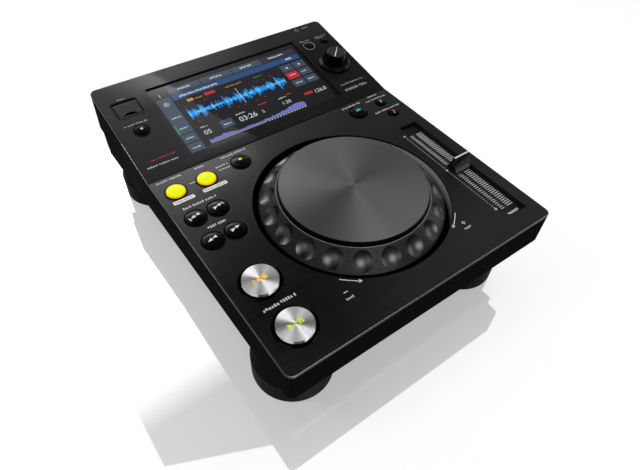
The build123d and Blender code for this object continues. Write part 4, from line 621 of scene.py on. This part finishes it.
screen_print("screen_border", [rectangle(-72.1, 11.5, 71.1, 89.3)], 0)
screen_print("screen_ground", [tile(0, 0, 1, 1)], 1)
TAB_U, TAB_STEP, TAB_V = 0.1, 0.215, 0.9
tabs = [tile(TAB_U + TAB_STEP * i, TAB_V, 0.31 + TAB_STEP * i, 1.0) for i in range(3)]
side_keys = [tile(0.0, v0, 0.088, v1) for v0, v1 in ((0.0, 0.13), (0.145, 0.275), (0.29, 0.88))]
right_keys = [
    tile(0.82, 0.645, 0.905, 0.765), tile(0.915, 0.645, 1.0, 0.765), tile(0.82, 0.36, 0.905, 0.48),
    tile(0.915, 0.36, 1.0, 0.48), tile(0.915, 0.505, 1.0, 0.625), tile(0.245, 0.16, 0.325, 0.28),
]
screen_print("screen_keys", tabs + side_keys + right_keys, 2)
screen_print("screen_dark_tab", [tile(0.745, TAB_V, 1.0, 1.0)], 2)
screen_print("screen_title_bar", [tile(TAB_U, 0.8, 1.0, 0.888)], 2)
reds = [
    tile(0.82, 0.505, 0.905, 0.625), tile(0.83, 0.19, 0.89, 0.23), tile(0.28, 0.715, 0.35, 0.765),
    tile(0.52, 0.3, 0.58, 0.312), tile(0.72, 0.3, 0.76, 0.312),
]
screen_print("screen_red", reds, 2)
oranges = [tile(0.165, 0.715, 0.205, 0.76), *small_text(0.215, 0.72, 7.0), *small_text(0.42, 0.725, 16.0)]
screen_print("screen_orange", oranges, 2)
greens = [tile(0.0, 0.29, 0.009, 0.44), *small_text(0.62, 0.725, 8.0)]
screen_print("screen_green", greens, 3)

# Waveform: bars that swell at each beat
BARS, BEAT, BAR_W = 150, 17, 0.0046
WAVE_U, WAVE_W, WAVE_V = 0.125, 0.665, 0.525
LEAST_BAR, MOST_BAR = 0.008, 0.115
wave, crest = [], []
for i in range(BARS):
    u = WAVE_U + WAVE_W * i / BARS
    swell = 0.3 + 0.7 * (1 - i % BEAT / BEAT) ** 1.5
    tall = LEAST_BAR + MOST_BAR * swell * draw.random() ** 1.3
    wave.append(tile(u, WAVE_V - tall, u + BAR_W, WAVE_V + tall))
    if draw.random() < 0.4:
        crest.append(tile(u, WAVE_V - tall * 0.4, u + BAR_W, WAVE_V + tall * 0.5))
screen_print("screen_wave", wave, 2)
screen_print("screen_wave_crest", crest, 3)

# Overview: a low skyline
STEPS, VIEW_U, VIEW_W, VIEW_V = 46, 0.13, 0.66, 0.045
LEAST_RISE, MOST_RISE = 0.02, 0.085
rise = 0.03
skyline = []
for i in range(STEPS):
    u = VIEW_U + VIEW_W * i / STEPS
    rise = min(MOST_RISE, max(LEAST_RISE, rise + draw.uniform(-0.013, 0.016)))
    skyline.append(tile(u, VIEW_V, u + VIEW_W / STEPS, VIEW_V + rise))
screen_print("screen_overview", skyline, 2)

# White marks: playhead, overview scale, places of words, arrows and numbers
whites = [
    stroke(*spot(0.47, 0.41), *spot(0.47, 0.67), 0.45), stroke(*spot(VIEW_U, 0.035), *spot(0.5, 0.035), 0.35),
]
whites += [tile(0.51 + 0.02 * i, 0.028, 0.52 + 0.02 * i, 0.04) for i in range(14)]
whites += small_text(0.14, 0.825, 36.0, 2.0) + small_text(0.9, 0.83, 6.0, 2.0)
for i in range(3):
    whites += small_text(0.16 + TAB_STEP * i, 0.94, 11.0, 1.8)
whites += small_text(0.8, 0.94, 16.0, 1.8)
for v in (0.05, 0.2, 0.36, 0.54):
    whites += small_text(0.02, v, 7.5)
for u, v in ((0.84, 0.56), (0.93, 0.56), (0.84, 0.41), (0.93, 0.41), (0.26, 0.2)):
    whites += small_text(u, v, 6.5)
whites += [triangle(*spot(0.8625, 0.705), 1.4, -1), triangle(*spot(0.9575, 0.705), 1.4, 1)]
whites += band(*spot(0.044, 0.78), 1.9, 2.3) + [triangle(*spot(0.044, 0.78), 1.1, 1)]
numbers = (
    ("1", 5.0, 0.03, 0.91), ("05", 6.5, 0.13, 0.17), ("03:26", 7.4, 0.36, 0.165), ("5", 4.6, 0.515, 0.17),
    ("1.20", 5.0, 0.66, 0.175), ("126.0", 5.6, 0.9, 0.17),
)
for text, size, u, v in numbers:
    whites += digits(text, size, *spot(u, v))
whites += small_text(0.36, 0.275, 8.0) + small_text(0.66, 0.275, 7.0) + small_text(0.13, 0.28, 6.0)
screen_print("screen_white", whites, 4)

sparks = []
for i in range(26):
    u, side = draw.uniform(0.13, 0.79), draw.choice((-1, 1))
    v = WAVE_V + side * draw.uniform(0.125, 0.15)
    sparks.append(tile(u, v, u + 0.004, v + 0.008))
screen_print("screen_sparks", sparks, 3)

# Marks on the buttons
ARROW, ARROW_X, SLIM, SLANT = 2.1, 1.9, 0.62, 15.0
BAR_NEAR, BAR_FAR, BAR_HALF = 4.2, 4.9, 1.4
back_arrows = [triangle(-ARROW_X, 0, ARROW, -1, SLIM), triangle(ARROW_X, 0, ARROW, -1, SLIM)]
forward_arrows = [triangle(ARROW_X, 0, ARROW, 1, SLIM), triangle(-ARROW_X, 0, ARROW, 1, SLIM)]
back_bar = rectangle(-BAR_FAR, -BAR_HALF, -BAR_NEAR, BAR_HALF)
forward_bar = rectangle(BAR_NEAR, -BAR_HALF, BAR_FAR, BAR_HALF)
on_cap("track_back_button", "track_back_mark", turned([back_bar, *back_arrows], SLANT), PRINT)
on_cap("track_forward_button", "track_forward_mark", turned([forward_bar, *forward_arrows], SLANT), PRINT)
on_cap("search_back_button", "search_back_mark", turned(back_arrows, SLANT), PRINT)
on_cap("search_forward_button", "search_forward_mark", turned(forward_arrows, SLANT), PRINT)
on_cap("reloop_button", "reloop_lamp", [rounded(-1.3, -0.2, 1.3, 1.5, 0.8)], LED_YELLOW)
on_cap("jog_mode_button", "jog_mode_lamp", [rounded(-2.4, -0.9, 2.1, 1.4, 0.7)], LED_TEAL)
on_cap("tempo_range_button", "tempo_range_mark", [stroke(-0.5, -1.8, 0.5, 1.8, 0.75)], PRINT, TINY_TOP)
on_cap("master_tempo_button", "master_tempo_mark", [stroke(-0.6, -2.2, -0.2, -0.6, 0.75)], PRINT, TINY_TOP)
on_cap("master_tempo_button", "master_tempo_lamp", [disc(0.1, 0.7, 0.95)], LED_RED, TINY_TOP)
cue_mark = [rectangle(-5.0, -1.7, -3.9, 1.7), triangle(-1.2, 0, 2.0, -1), rectangle(1.6, -1.6, 4.6, 1.6)]
on_cap("cue_button", "cue_lamp", cue_mark, LED_ORANGE, BIG_TOP)
play_mark = [
    triangle(-3.6, 0, 2.0, 1), stroke(-0.7, -1.9, 0.7, 1.9, 0.6), rectangle(2.2, -1.8, 3.4, 1.8),
    rectangle(4.1, -1.8, 5.3, 1.8),
]
on_cap("play_button", "play_lamp", play_mark, LED_GREEN, BIG_TOP)
on_cap("usb_stop_button", "usb_stop_mark", [rectangle(-0.9, -0.9, 0.9, 0.9)], LEGEND, STOP_TOP, PANEL)

# Rings on the bezels, whose tops stand a little over the planes: painted highlight glints on the cue and play bezels,
# and a ring round the back button
BEZEL_LOW = 0.49
GLINT_HALF = 16.0
painted_glint_arcs = []
for button in ("cue_button", "play_button"):
    x, y = centre(button, DECK)
    for middle in (33.0, -66.0, -150.0):
        painted_glint_arcs += band(x, y, 13.95, 14.2, middle - GLINT_HALF, middle + GLINT_HALF, 12)
printed("painted_bezel_glints", painted_glint_arcs, DECK, "chassis", DIM_PRINT_AND_GLINT, BEZEL_LOW, 0.52)
back_x, back_s = centre("back_button", PANEL)
printed("back_ring", band(back_x, back_s, 5.05, 5.5), PANEL, "chassis", GREY_PRINT_AND_GLINT, BEZEL_LOW, 0.53)

# Prints on the deck: places of labels (from, to, foot, height), pills, lines and arrows
label_places = (
    (-106.5, -87.0, 31.4, 1.7), (-76.2, -69.2, 31.4, 1.7), (-62.8, -53.0, 24.0, 1.7), (-54.6, -33.0, 31.4, 1.7),
    (-101.8, -76.6, -1.6, 2.0), (-95.8, -82.4, -26.2, 2.0), (-99.9, -77.2, -103.2, 2.2), (60.2, 79.4, 30.4, 1.7),
    (89.6, 100.6, 32.4, 1.5), (83.8, 105.0, 27.6, 1.5), (80.6, 107.0, 10.6, 1.7),
)
printed("deck_labels", [bar for place in label_places for bar in legend(*place)], DECK, "chassis", LEGEND)
LINE_W = 0.5
deck_prints = [
    stroke(-62.2, 21.0, -52.6, 21.0, LINE_W), stroke(-86.7, 20.0, -82.0, 20.0, LINE_W),
    rounded(-105.0, 5.8, -88.8, 9.3, 0.8), rounded(-82.0, 6.0, -63.0, 9.4, 0.8),
    stroke(50.2, -118.3, 53.2, -118.3, LINE_W), stroke(51.7, -119.8, 51.7, -116.8, LINE_W),
    stroke(-52.7, -118.4, -49.7, -118.4, LINE_W),
]
# Curved arrows beside the jog wheel
jog_x, jog_y = centre("jog_plate", DECK)
ARROW_IN, ARROW_OUT = 72.6, 73.1
BARB, BARB_ANGLE = 2.6, 0.45
ARROW_ENDS = ((1, -45.5, -57.0), (-1, 225.5, 237.0))
for _, tail, tip in ARROW_ENDS:
    deck_prints += band(jog_x, jog_y, ARROW_IN, ARROW_OUT, tail, tip, 10)
for way, _, tip in ARROW_ENDS:
    angle = math.radians(tip)
    tip_x, tip_y = on_circle(jog_x, jog_y, (ARROW_IN + ARROW_OUT) / 2, angle)
    along = angle - way * math.pi / 2
    for side in (-1, 1):
        barb_end = on_circle(tip_x, tip_y, BARB, along + math.pi + side * BARB_ANGLE)
        deck_prints.append(stroke(tip_x, tip_y, *barb_end, LINE_W))
printed("deck_prints", deck_prints, DECK, "chassis", PRINT)
pill_marks = legend(-103.8, -90.0, 6.9, 1.2) + legend(-80.8, -64.2, 7.1, 1.2)
printed("pill_marks", pill_marks, DECK, "chassis", DIM_PRINT_AND_GLINT, 0.03, 0.05)
grey_prints = legend(48.3, 54.0, -124.0, 1.7) + legend(-54.0, -48.6, -124.0, 1.7)
# Painted highlight: thin pale curved strips on the outer sides of the track and search pairs, standing for light on
# the edge round each pair
PAIR_IN, PAIR_OUT = 8.9, 9.2
pair_glint_rings = []
for pair in ("track", "search"):
    left_x, left_y = centre(pair + "_back_button", DECK)
    right_x, right_y = centre(pair + "_forward_button", DECK)
    pair_glint_rings += band(left_x, left_y, PAIR_IN, PAIR_OUT, 110.0, 260.0, 20)
    pair_glint_rings += band(right_x, right_y, PAIR_IN, PAIR_OUT, -80.0, 70.0, 20)
printed("deck_grey_prints", grey_prints, DECK, "chassis", LEGEND)
printed("pair_glint_rings", pair_glint_rings, DECK, "chassis", DIM_PRINT_AND_GLINT)

# Tempo scale: lines on the trough's floor, dots on the deck beside it
tempo_x, tempo_y = centre("tempo_trough", DECK)
LINES, REACH = 51, 48.6
LINE_HALF, LINE_SPANS = 0.27, ((85.6, 91.0), (94.0, 100.2))
DOT_X, DOT_R, MIDDLE_DOT_R = 80.6, 0.33, 0.8
END_HALF, END_W = 1.2, 0.6
TROUGH_FLOOR = -4.0
scale_lines, scale_dots = [], []
for i in range(LINES):
    y = tempo_y - REACH + 2 * REACH * i / (LINES - 1)
    scale_lines += [rectangle(x0, y - LINE_HALF, x1, y + LINE_HALF) for x0, x1 in LINE_SPANS]
    if 0 < i < LINES - 1:
        scale_dots.append(disc(DOT_X, y, MIDDLE_DOT_R if i == LINES // 2 else DOT_R, 12))
for way in (-1, 1):
    end_y = tempo_y + way * REACH
    scale_dots.append(stroke(DOT_X - END_HALF, end_y, DOT_X + END_HALF, end_y, END_W))
scale_dots.append(stroke(DOT_X, tempo_y - REACH - END_HALF, DOT_X, tempo_y - REACH + END_HALF, END_W))
scale_lines += legend(88.6, 98.4, tempo_y - 56.0, 1.9)
printed("tempo_scale_lines", scale_lines, DECK, "chassis", PRINT, TROUGH_FLOOR, TROUGH_FLOOR + 0.03)
printed("tempo_scale_dots", scale_dots, DECK, "chassis", PRINT)

# Slider cap: pale line along the ridge
RIDGE_HALF_W, RIDGE_HALF_L = 7.2, 0.55
ridge_top = (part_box("tempo_knob")[1].z - DECK_TOP) / MM
ridge = rounded(
    tempo_x - RIDGE_HALF_W, tempo_y - RIDGE_HALF_L, tempo_x + RIDGE_HALF_W, tempo_y + RIDGE_HALF_L, 0.3
)
printed("slider_line", [ridge], DECK, "tempo_slider", PRINT, ridge_top - 0.02, ridge_top + 0.03)

# Panel prints: stand-by mark, lid mark, label places
lid_x, lid_s = centre("usb_lid", PANEL)
stop_x, stop_s = centre("usb_stop_button", PANEL)
tag_x, tag_s = centre("tag_button", PANEL)
STANDBY_X, STANDBY_S = 84.6, 101.6
panel_prints = band(STANDBY_X, STANDBY_S, 1.35, 1.75, 130.0, 410.0, 24)
panel_prints += [stroke(STANDBY_X, STANDBY_S + 0.4, STANDBY_X, STANDBY_S + 2.4, 0.45)]
panel_prints += legend(90.5, 98.2, 101.0, 1.3) + legend(back_x - 5.2, back_x + 5.0, back_s + 7.2, 1.4)
panel_prints += legend(tag_x - 6.2, tag_x + 6.0, tag_s + 7.6, 1.2)
panel_prints += legend(tag_x - 5.2, tag_x + 4.6, tag_s + 5.4, 1.2)
panel_prints += legend(stop_x - 7.5, stop_x + 8.5, stop_s + 8.0, 1.5)
panel_prints += [stroke(stop_x - 11.0, stop_s + 8.7, stop_x - 8.8, stop_s + 8.7, LINE_W)]
panel_prints += [stroke(lid_x - 2.0, lid_s + 11.0, lid_x + 2.6, lid_s + 11.0, LINE_W)]
panel_prints += [disc(lid_x - 2.8, lid_s + 11.0, 0.7, 12)]
panel_prints += legend(78.0, 101.6, 20.0, 1.6) + legend(78.0, 101.0, 12.6, 2.6, 0.9)
printed("panel_prints", panel_prints, PANEL, "chassis", GREY_PRINT_AND_GLINT)
printed("format_label", legend(-105.6, -80.8, 12.2, 1.5), PANEL, "chassis", LEGEND)
printed("red_label", legend(-100.6, -80.6, 17.8, 1.5), PANEL, "chassis", RED_PRINT)
# The frame's inner corners are square, as the lid's opening is, and so stay clear of the opened lid
lid_frame = outline_band(rounded(-103.6, 66.0, -82.0, 86.0, 2.6), rounded(-102.6, 67.0, -83.0, 85.0, 0.1))
printed("lid_frame", lid_frame, PANEL, "chassis", BEZEL)

# Selector: pointer on the knob's top, fine ribs round its side
knob_x, knob_s = centre("selector_knob", PANEL)
KNOB_TOP = 12.4
pointer = [(-5.2, -4.5), (-4.5, -5.2), (5.0, 4.7), (4.7, 5.0)]
pointer = [(knob_x + px, knob_s + py) for px, py in pointer]
printed("selector_pointer", [pointer], PANEL, "selector", PRINT, KNOB_TOP - 0.02, KNOB_TOP + 0.04)
RIBS, RIB_HALF, RIB_ROOT, RIB_CREST = 36, 0.28, 0.15, -0.28
RIB_ENDS = ((5.2, 9.12), (11.2, 8.44))
ribs = bmesh.new()
for i in range(RIBS):
    angle = 2 * math.pi * i / RIBS
    corners = []
    for height, radius in RIB_ENDS:
        for sink, side in ((RIB_ROOT, -1), (RIB_CREST, 0), (RIB_ROOT, 1)):
            x, s = on_circle(knob_x, knob_s, radius - sink, angle + side * RIB_HALF / radius)
            corners.append(ribs.verts.new(PANEL @ Vector((x, s, height))))
    a0, a1, a2, b0, b1, b2 = corners
    for face in ((a0, a1, b1, b0), (a1, a2, b2, b1), (a2, a0, b0, b2), (a0, a2, a1), (b0, b1, b2)):
        ribs.faces.new(face)
finish_piece("selector_ribs", ribs, "selector", GLOSS)

# Jog wheel: small studs between the finger dimples, three in a row, and a painted highlight line round the rim
STUD_SHARES = (0.16, 0.5, 0.84)
STUD_PROFILE = ((0.62, -0.1), (0.62, 0.06), (0.45, 0.2), (0.2, 0.27))
STUD_SIDES = 10
studs = bmesh.new()
lean = math.atan2(RING_R - RING_TOP_R, RING_HIGH - RING_LOW)
for i in range(DIMPLES):
    for share in STUD_SHARES:
        angle = math.radians(DIMPLE_START + DIMPLE_STEP * (i + 0.5))
        radius = RING_R + (RING_TOP_R - RING_R) * share
        height = RING_LOW + (RING_HIGH - RING_LOW) * share
        place = (
            DECK @ Matrix.Translation((jog_x, jog_y, height)) @ Matrix.Rotation(angle, 4, "Z")
            @ Matrix.Translation((radius, 0, 0)) @ Matrix.Rotation(math.pi / 2 - lean, 4, "Y")
        )
        rings = []
        for r, h in STUD_PROFILE:
            rings.append([studs.verts.new(place @ Vector((px, py, h))) for px, py in disc(0, 0, r, STUD_SIDES)])
        for lower, upper in zip(rings, rings[1:]):
            for k in range(STUD_SIDES):
                after = (k + 1) % STUD_SIDES
                studs.faces.new((lower[k], lower[after], upper[after], upper[k]))
        studs.faces.new(rings[0][::-1])
        studs.faces.new(rings[-1])
finish_piece("jog_studs", studs, "jog_wheel", STUD, True)
rim_glint = band(jog_x, jog_y, 54.0, 54.35, 0.0, 360.0, 96)
printed("painted_jog_rim_glint", rim_glint, DECK, "jog_wheel", GREY_PRINT_AND_GLINT, RING_HIGH - 0.01, RING_HIGH + 0.02)

# Floor, light and camera


def stage_mesh(name, points, finish, faces=None):
    mesh = bpy.data.meshes.new(name)
    mesh.from_pydata(points, [], faces or [tuple(range(len(points)))])
    mesh.materials.append(finish)
    made = bpy.data.objects.new(name, mesh)
    bpy.context.scene.collection.objects.link(made)
    return made


def light_card(name, points, finish, faces=None):
    """Card of the stage that is seen in reflections only."""
    made = stage_mesh(name, points, finish, faces)
    made.visible_camera = made.visible_diffuse = made.visible_shadow = False


def seen_directly(tree):
    """1 on rays that show the background: from the camera, off gloss or through glass."""
    path = node(tree, "LightPath").outputs
    return chain(tree, "MAXIMUM", *(path[kind] for kind in ("Is Camera Ray", "Is Glossy Ray", "Is Transmission Ray")))


def region(tree, place, *ramps):
    """Level on a card: the product of ramps, each an axis, where it starts and ends, and its levels there."""
    return chain(tree, "MULTIPLY", *(spread(tree, place[axis], *ramp) for axis, *ramp in ramps))


SOFT_LEVEL = 0.42
HALF = 8.0
floor_finish, floor_tree = empty_material("floor")
glow = node(floor_tree, "Emission", Strength=SOFT_LEVEL)
matt = node(floor_tree, "BsdfDiffuse", Color=(0.28, 0.28, 0.28, 1))
shine = node(floor_tree, "BsdfAnisotropic", Color=(0.36, 0.36, 0.36, 1), Roughness=0.03)
plain = node(floor_tree, "BsdfDiffuse", Color=(0.8, 0.8, 0.8, 1))
pale = node(floor_tree, "AddShader", {0: glow.outputs[0], 1: matt.outputs[0]})
shown = node(floor_tree, "AddShader", {0: pale.outputs[0], 1: shine.outputs[0]})
choice = node(floor_tree, "MixShader", {0: seen_directly(floor_tree), 1: plain.outputs[0], 2: shown.outputs[0]})
node(floor_tree, "OutputMaterial", {"Surface": choice.outputs[0]})
stage_mesh("floor", [(-HALF, -HALF, 0), (HALF, -HALF, 0), (HALF, HALF, 0), (-HALF, HALF, 0)], floor_finish)

world = bpy.data.worlds.new("studio")
bpy.context.scene.world = world
world.use_nodes = True
world_tree = world.node_tree
world_tree.nodes.clear()
soft = node(world_tree, "Background", Color=(1, 1, 1, 1), Strength=SOFT_LEVEL)
white = node(world_tree, "Background", Color=(1, 1, 1, 1), Strength=1.0)
choice = node(world_tree, "MixShader", {0: seen_directly(world_tree), 1: soft.outputs[0], 2: white.outputs[0]})
node(world_tree, "OutputWorld", {"Surface": choice.outputs[0]})

# Softbox over the player: bright at the back left, with one slanting edge
BOX_H = 0.2
BOX_OUTLINE = (
    (-0.19, 0.45), (-0.19, -0.04), (-0.06, -0.097), (0.185, -0.097),
    (0.2, -0.05), (0.27, 0.0), (0.3, 0.1), (0.33, 0.45),
)
EDGE_WAY, EDGE_AT, EDGE_FADE = (-0.852, -0.523, 0.0), -0.0935, 0.002
BOX_REGIONS = (
    (("Y", 0.0, 0.19, 0.08, 4.6), ("X", -0.05, 0.16, 0.9, 0.06), ("X", -0.075, -0.045, 1.35, 0.62)),
    (("edge", EDGE_AT - EDGE_FADE, EDGE_AT), ("edge", EDGE_AT, EDGE_AT + 0.05, 16.0, 0.0), ("Y", 0.18, 0.205)),
    (("X", -0.06, -0.01), ("X", 0.0, 0.1, 7.0, 1.1), ("Y", 0.19, 0.21)),
    (("X", -0.01, 0.07), ("Y", -0.09, 0.0, 1.7, 0.35)),
)
box_finish, box_tree = empty_material("softbox")
box_parts = parts_of(box_tree, own_place(box_tree))
box_place = {
    "X": box_parts["X"], "Y": box_parts["Y"],
    "edge": vector_calc(box_tree, "DOT_PRODUCT", own_place(box_tree), EDGE_WAY),
}
box_level = chain(box_tree, "ADD", *(region(box_tree, box_place, *ramps) for ramps in BOX_REGIONS))
box_glow = node(box_tree, "Emission", {"Strength": box_level})
node(box_tree, "OutputMaterial", {"Surface": box_glow.outputs[0]})
light_card("softbox", [(x, y, BOX_H) for x, y in BOX_OUTLINE], box_finish)

# Small card low over the screen, seen in the glass: it adds to what is above it, up to a slanting edge
CARD_H = 0.125
CARD_OUTLINE = ((-0.1, 0.15), (-0.1, 0.062), (0.0021, 0.062), (-0.0443, 0.15))
CARD_REGIONS = (
    (("X", -0.092, -0.06, 0.0, 3.3), ("Y", 0.115, 0.147, 1.0, 0.0)),
    (("Y", 0.0735, 0.076, 8.0, 0.0), ("Y", 0.069, 0.0705), ("X", -0.05, -0.035)),
)
card_finish, card_tree = empty_material("glare_card")
card_place = parts_of(card_tree, own_place(card_tree))
card_level = chain(card_tree, "ADD", *(region(card_tree, card_place, *ramps) for ramps in CARD_REGIONS))
card_glow = node(card_tree, "Emission", {"Strength": card_level})
card_clear = node(card_tree, "BsdfTransparent")
card_sum = node(card_tree, "AddShader", {0: card_glow.outputs[0], 1: card_clear.outputs[0]})
node(card_tree, "OutputMaterial", {"Surface": card_sum.outputs[0]})
light_card("glare_card", [(x, y, CARD_H) for x, y in CARD_OUTLINE], card_finish)

# Hood round the front: three soft lights (direction, reach, level) over a dark horizon
HOOD_R, HOOD_STEP, HOOD_FOOT = 1.6, 5.0, 0.5
HOOD_LIGHTS = (((-0.05, -0.67, 0.75), 0.8, 11.0), ((0.92, -0.32, 0.26), 0.8, 4.0), ((-0.74, -0.38, 0.55), 0.8, 3.0))
HOOD_ARCS = ((-175.0, -45.0, 75.0), (-45.0, -5.0, 35.0))
hood_finish, hood_tree = empty_material("hood")
hood_coords = own_place(hood_tree)
hood_parts = parts_of(hood_tree, hood_coords)
hood_levels = [region(hood_tree, hood_parts, ("Z", 0.05, 0.4, 0.05, 0.6), ("Z", 0.7, 1.3, 1.0, 0.1))]
for way, reach, level in HOOD_LIGHTS:
    away = vector_calc(hood_tree, "DISTANCE", hood_coords, Vector(way).normalized() * HOOD_R)
    hood_levels.append(spread(hood_tree, away, 0.0, reach, level, 0.0))
hood_glow = node(hood_tree, "Emission", {"Strength": chain(hood_tree, "ADD", *hood_levels)})
node(hood_tree, "OutputMaterial", {"Surface": hood_glow.outputs[0]})
hood_points, hood_faces = [], []
for start, stop, top in HOOD_ARCS:
    first = len(hood_points)
    columns, rows = round((stop - start) / HOOD_STEP) + 1, round(top / HOOD_STEP) + 1
    for row in range(rows):
        lift = math.radians(max(HOOD_FOOT, HOOD_STEP * row))
        for column in range(columns):
            turn = math.radians(start + HOOD_STEP * column)
            hood_points.append((*on_circle(0.0, 0.0, HOOD_R * math.cos(lift), turn), HOOD_R * math.sin(lift)))
    for row in range(rows - 1):
        for column in range(columns - 1):
            corner = first + row * columns + column
            hood_faces.append((corner, corner + 1, corner + 1 + columns, corner + columns))
light_card("hood", hood_points, hood_finish, hood_faces)

AIM = (0, 0, 0.08)


def lamp(name, place, size, power):
    data = bpy.data.lights.new(name, "AREA")
    data.shape = "RECTANGLE"
    data.size, data.size_y = size
    data.energy = power
    made = bpy.data.objects.new(name, data)
    made.location = place
    made.rotation_euler = (Vector(AIM) - Vector(place)).to_track_quat("-Z", "Y").to_euler()
    made.visible_glossy = False
    bpy.context.scene.collection.objects.link(made)


lamp("top", (0.0, 0.1, 1.25), (0.9, 0.7), 3.6)
lamp("left", (-0.72, 0.28, 0.95), (0.25, 0.25), 2.2)
lamp("right", (0.6, -0.1, 1.05), (0.25, 0.25), 2.0)

FOCAL_PX, WIDTH_PX, SENSOR = 524.5, 640, 36.0
camera_data = bpy.data.cameras.new("camera")
camera_data.sensor_width = SENSOR
camera_data.lens = FOCAL_PX / WIDTH_PX * SENSOR
camera = bpy.data.objects.new("camera", camera_data)
camera.location = (-0.17897, -0.25311, 0.34292)
camera.rotation_mode = "QUATERNION"
camera.rotation_quaternion = Quaternion((0.893165, 0.328376, -0.123362, -0.281437))
bpy.context.scene.collection.objects.link(camera)
bpy.context.scene.camera = camera
bpy.context.scene.view_settings.view_transform = "Standard"
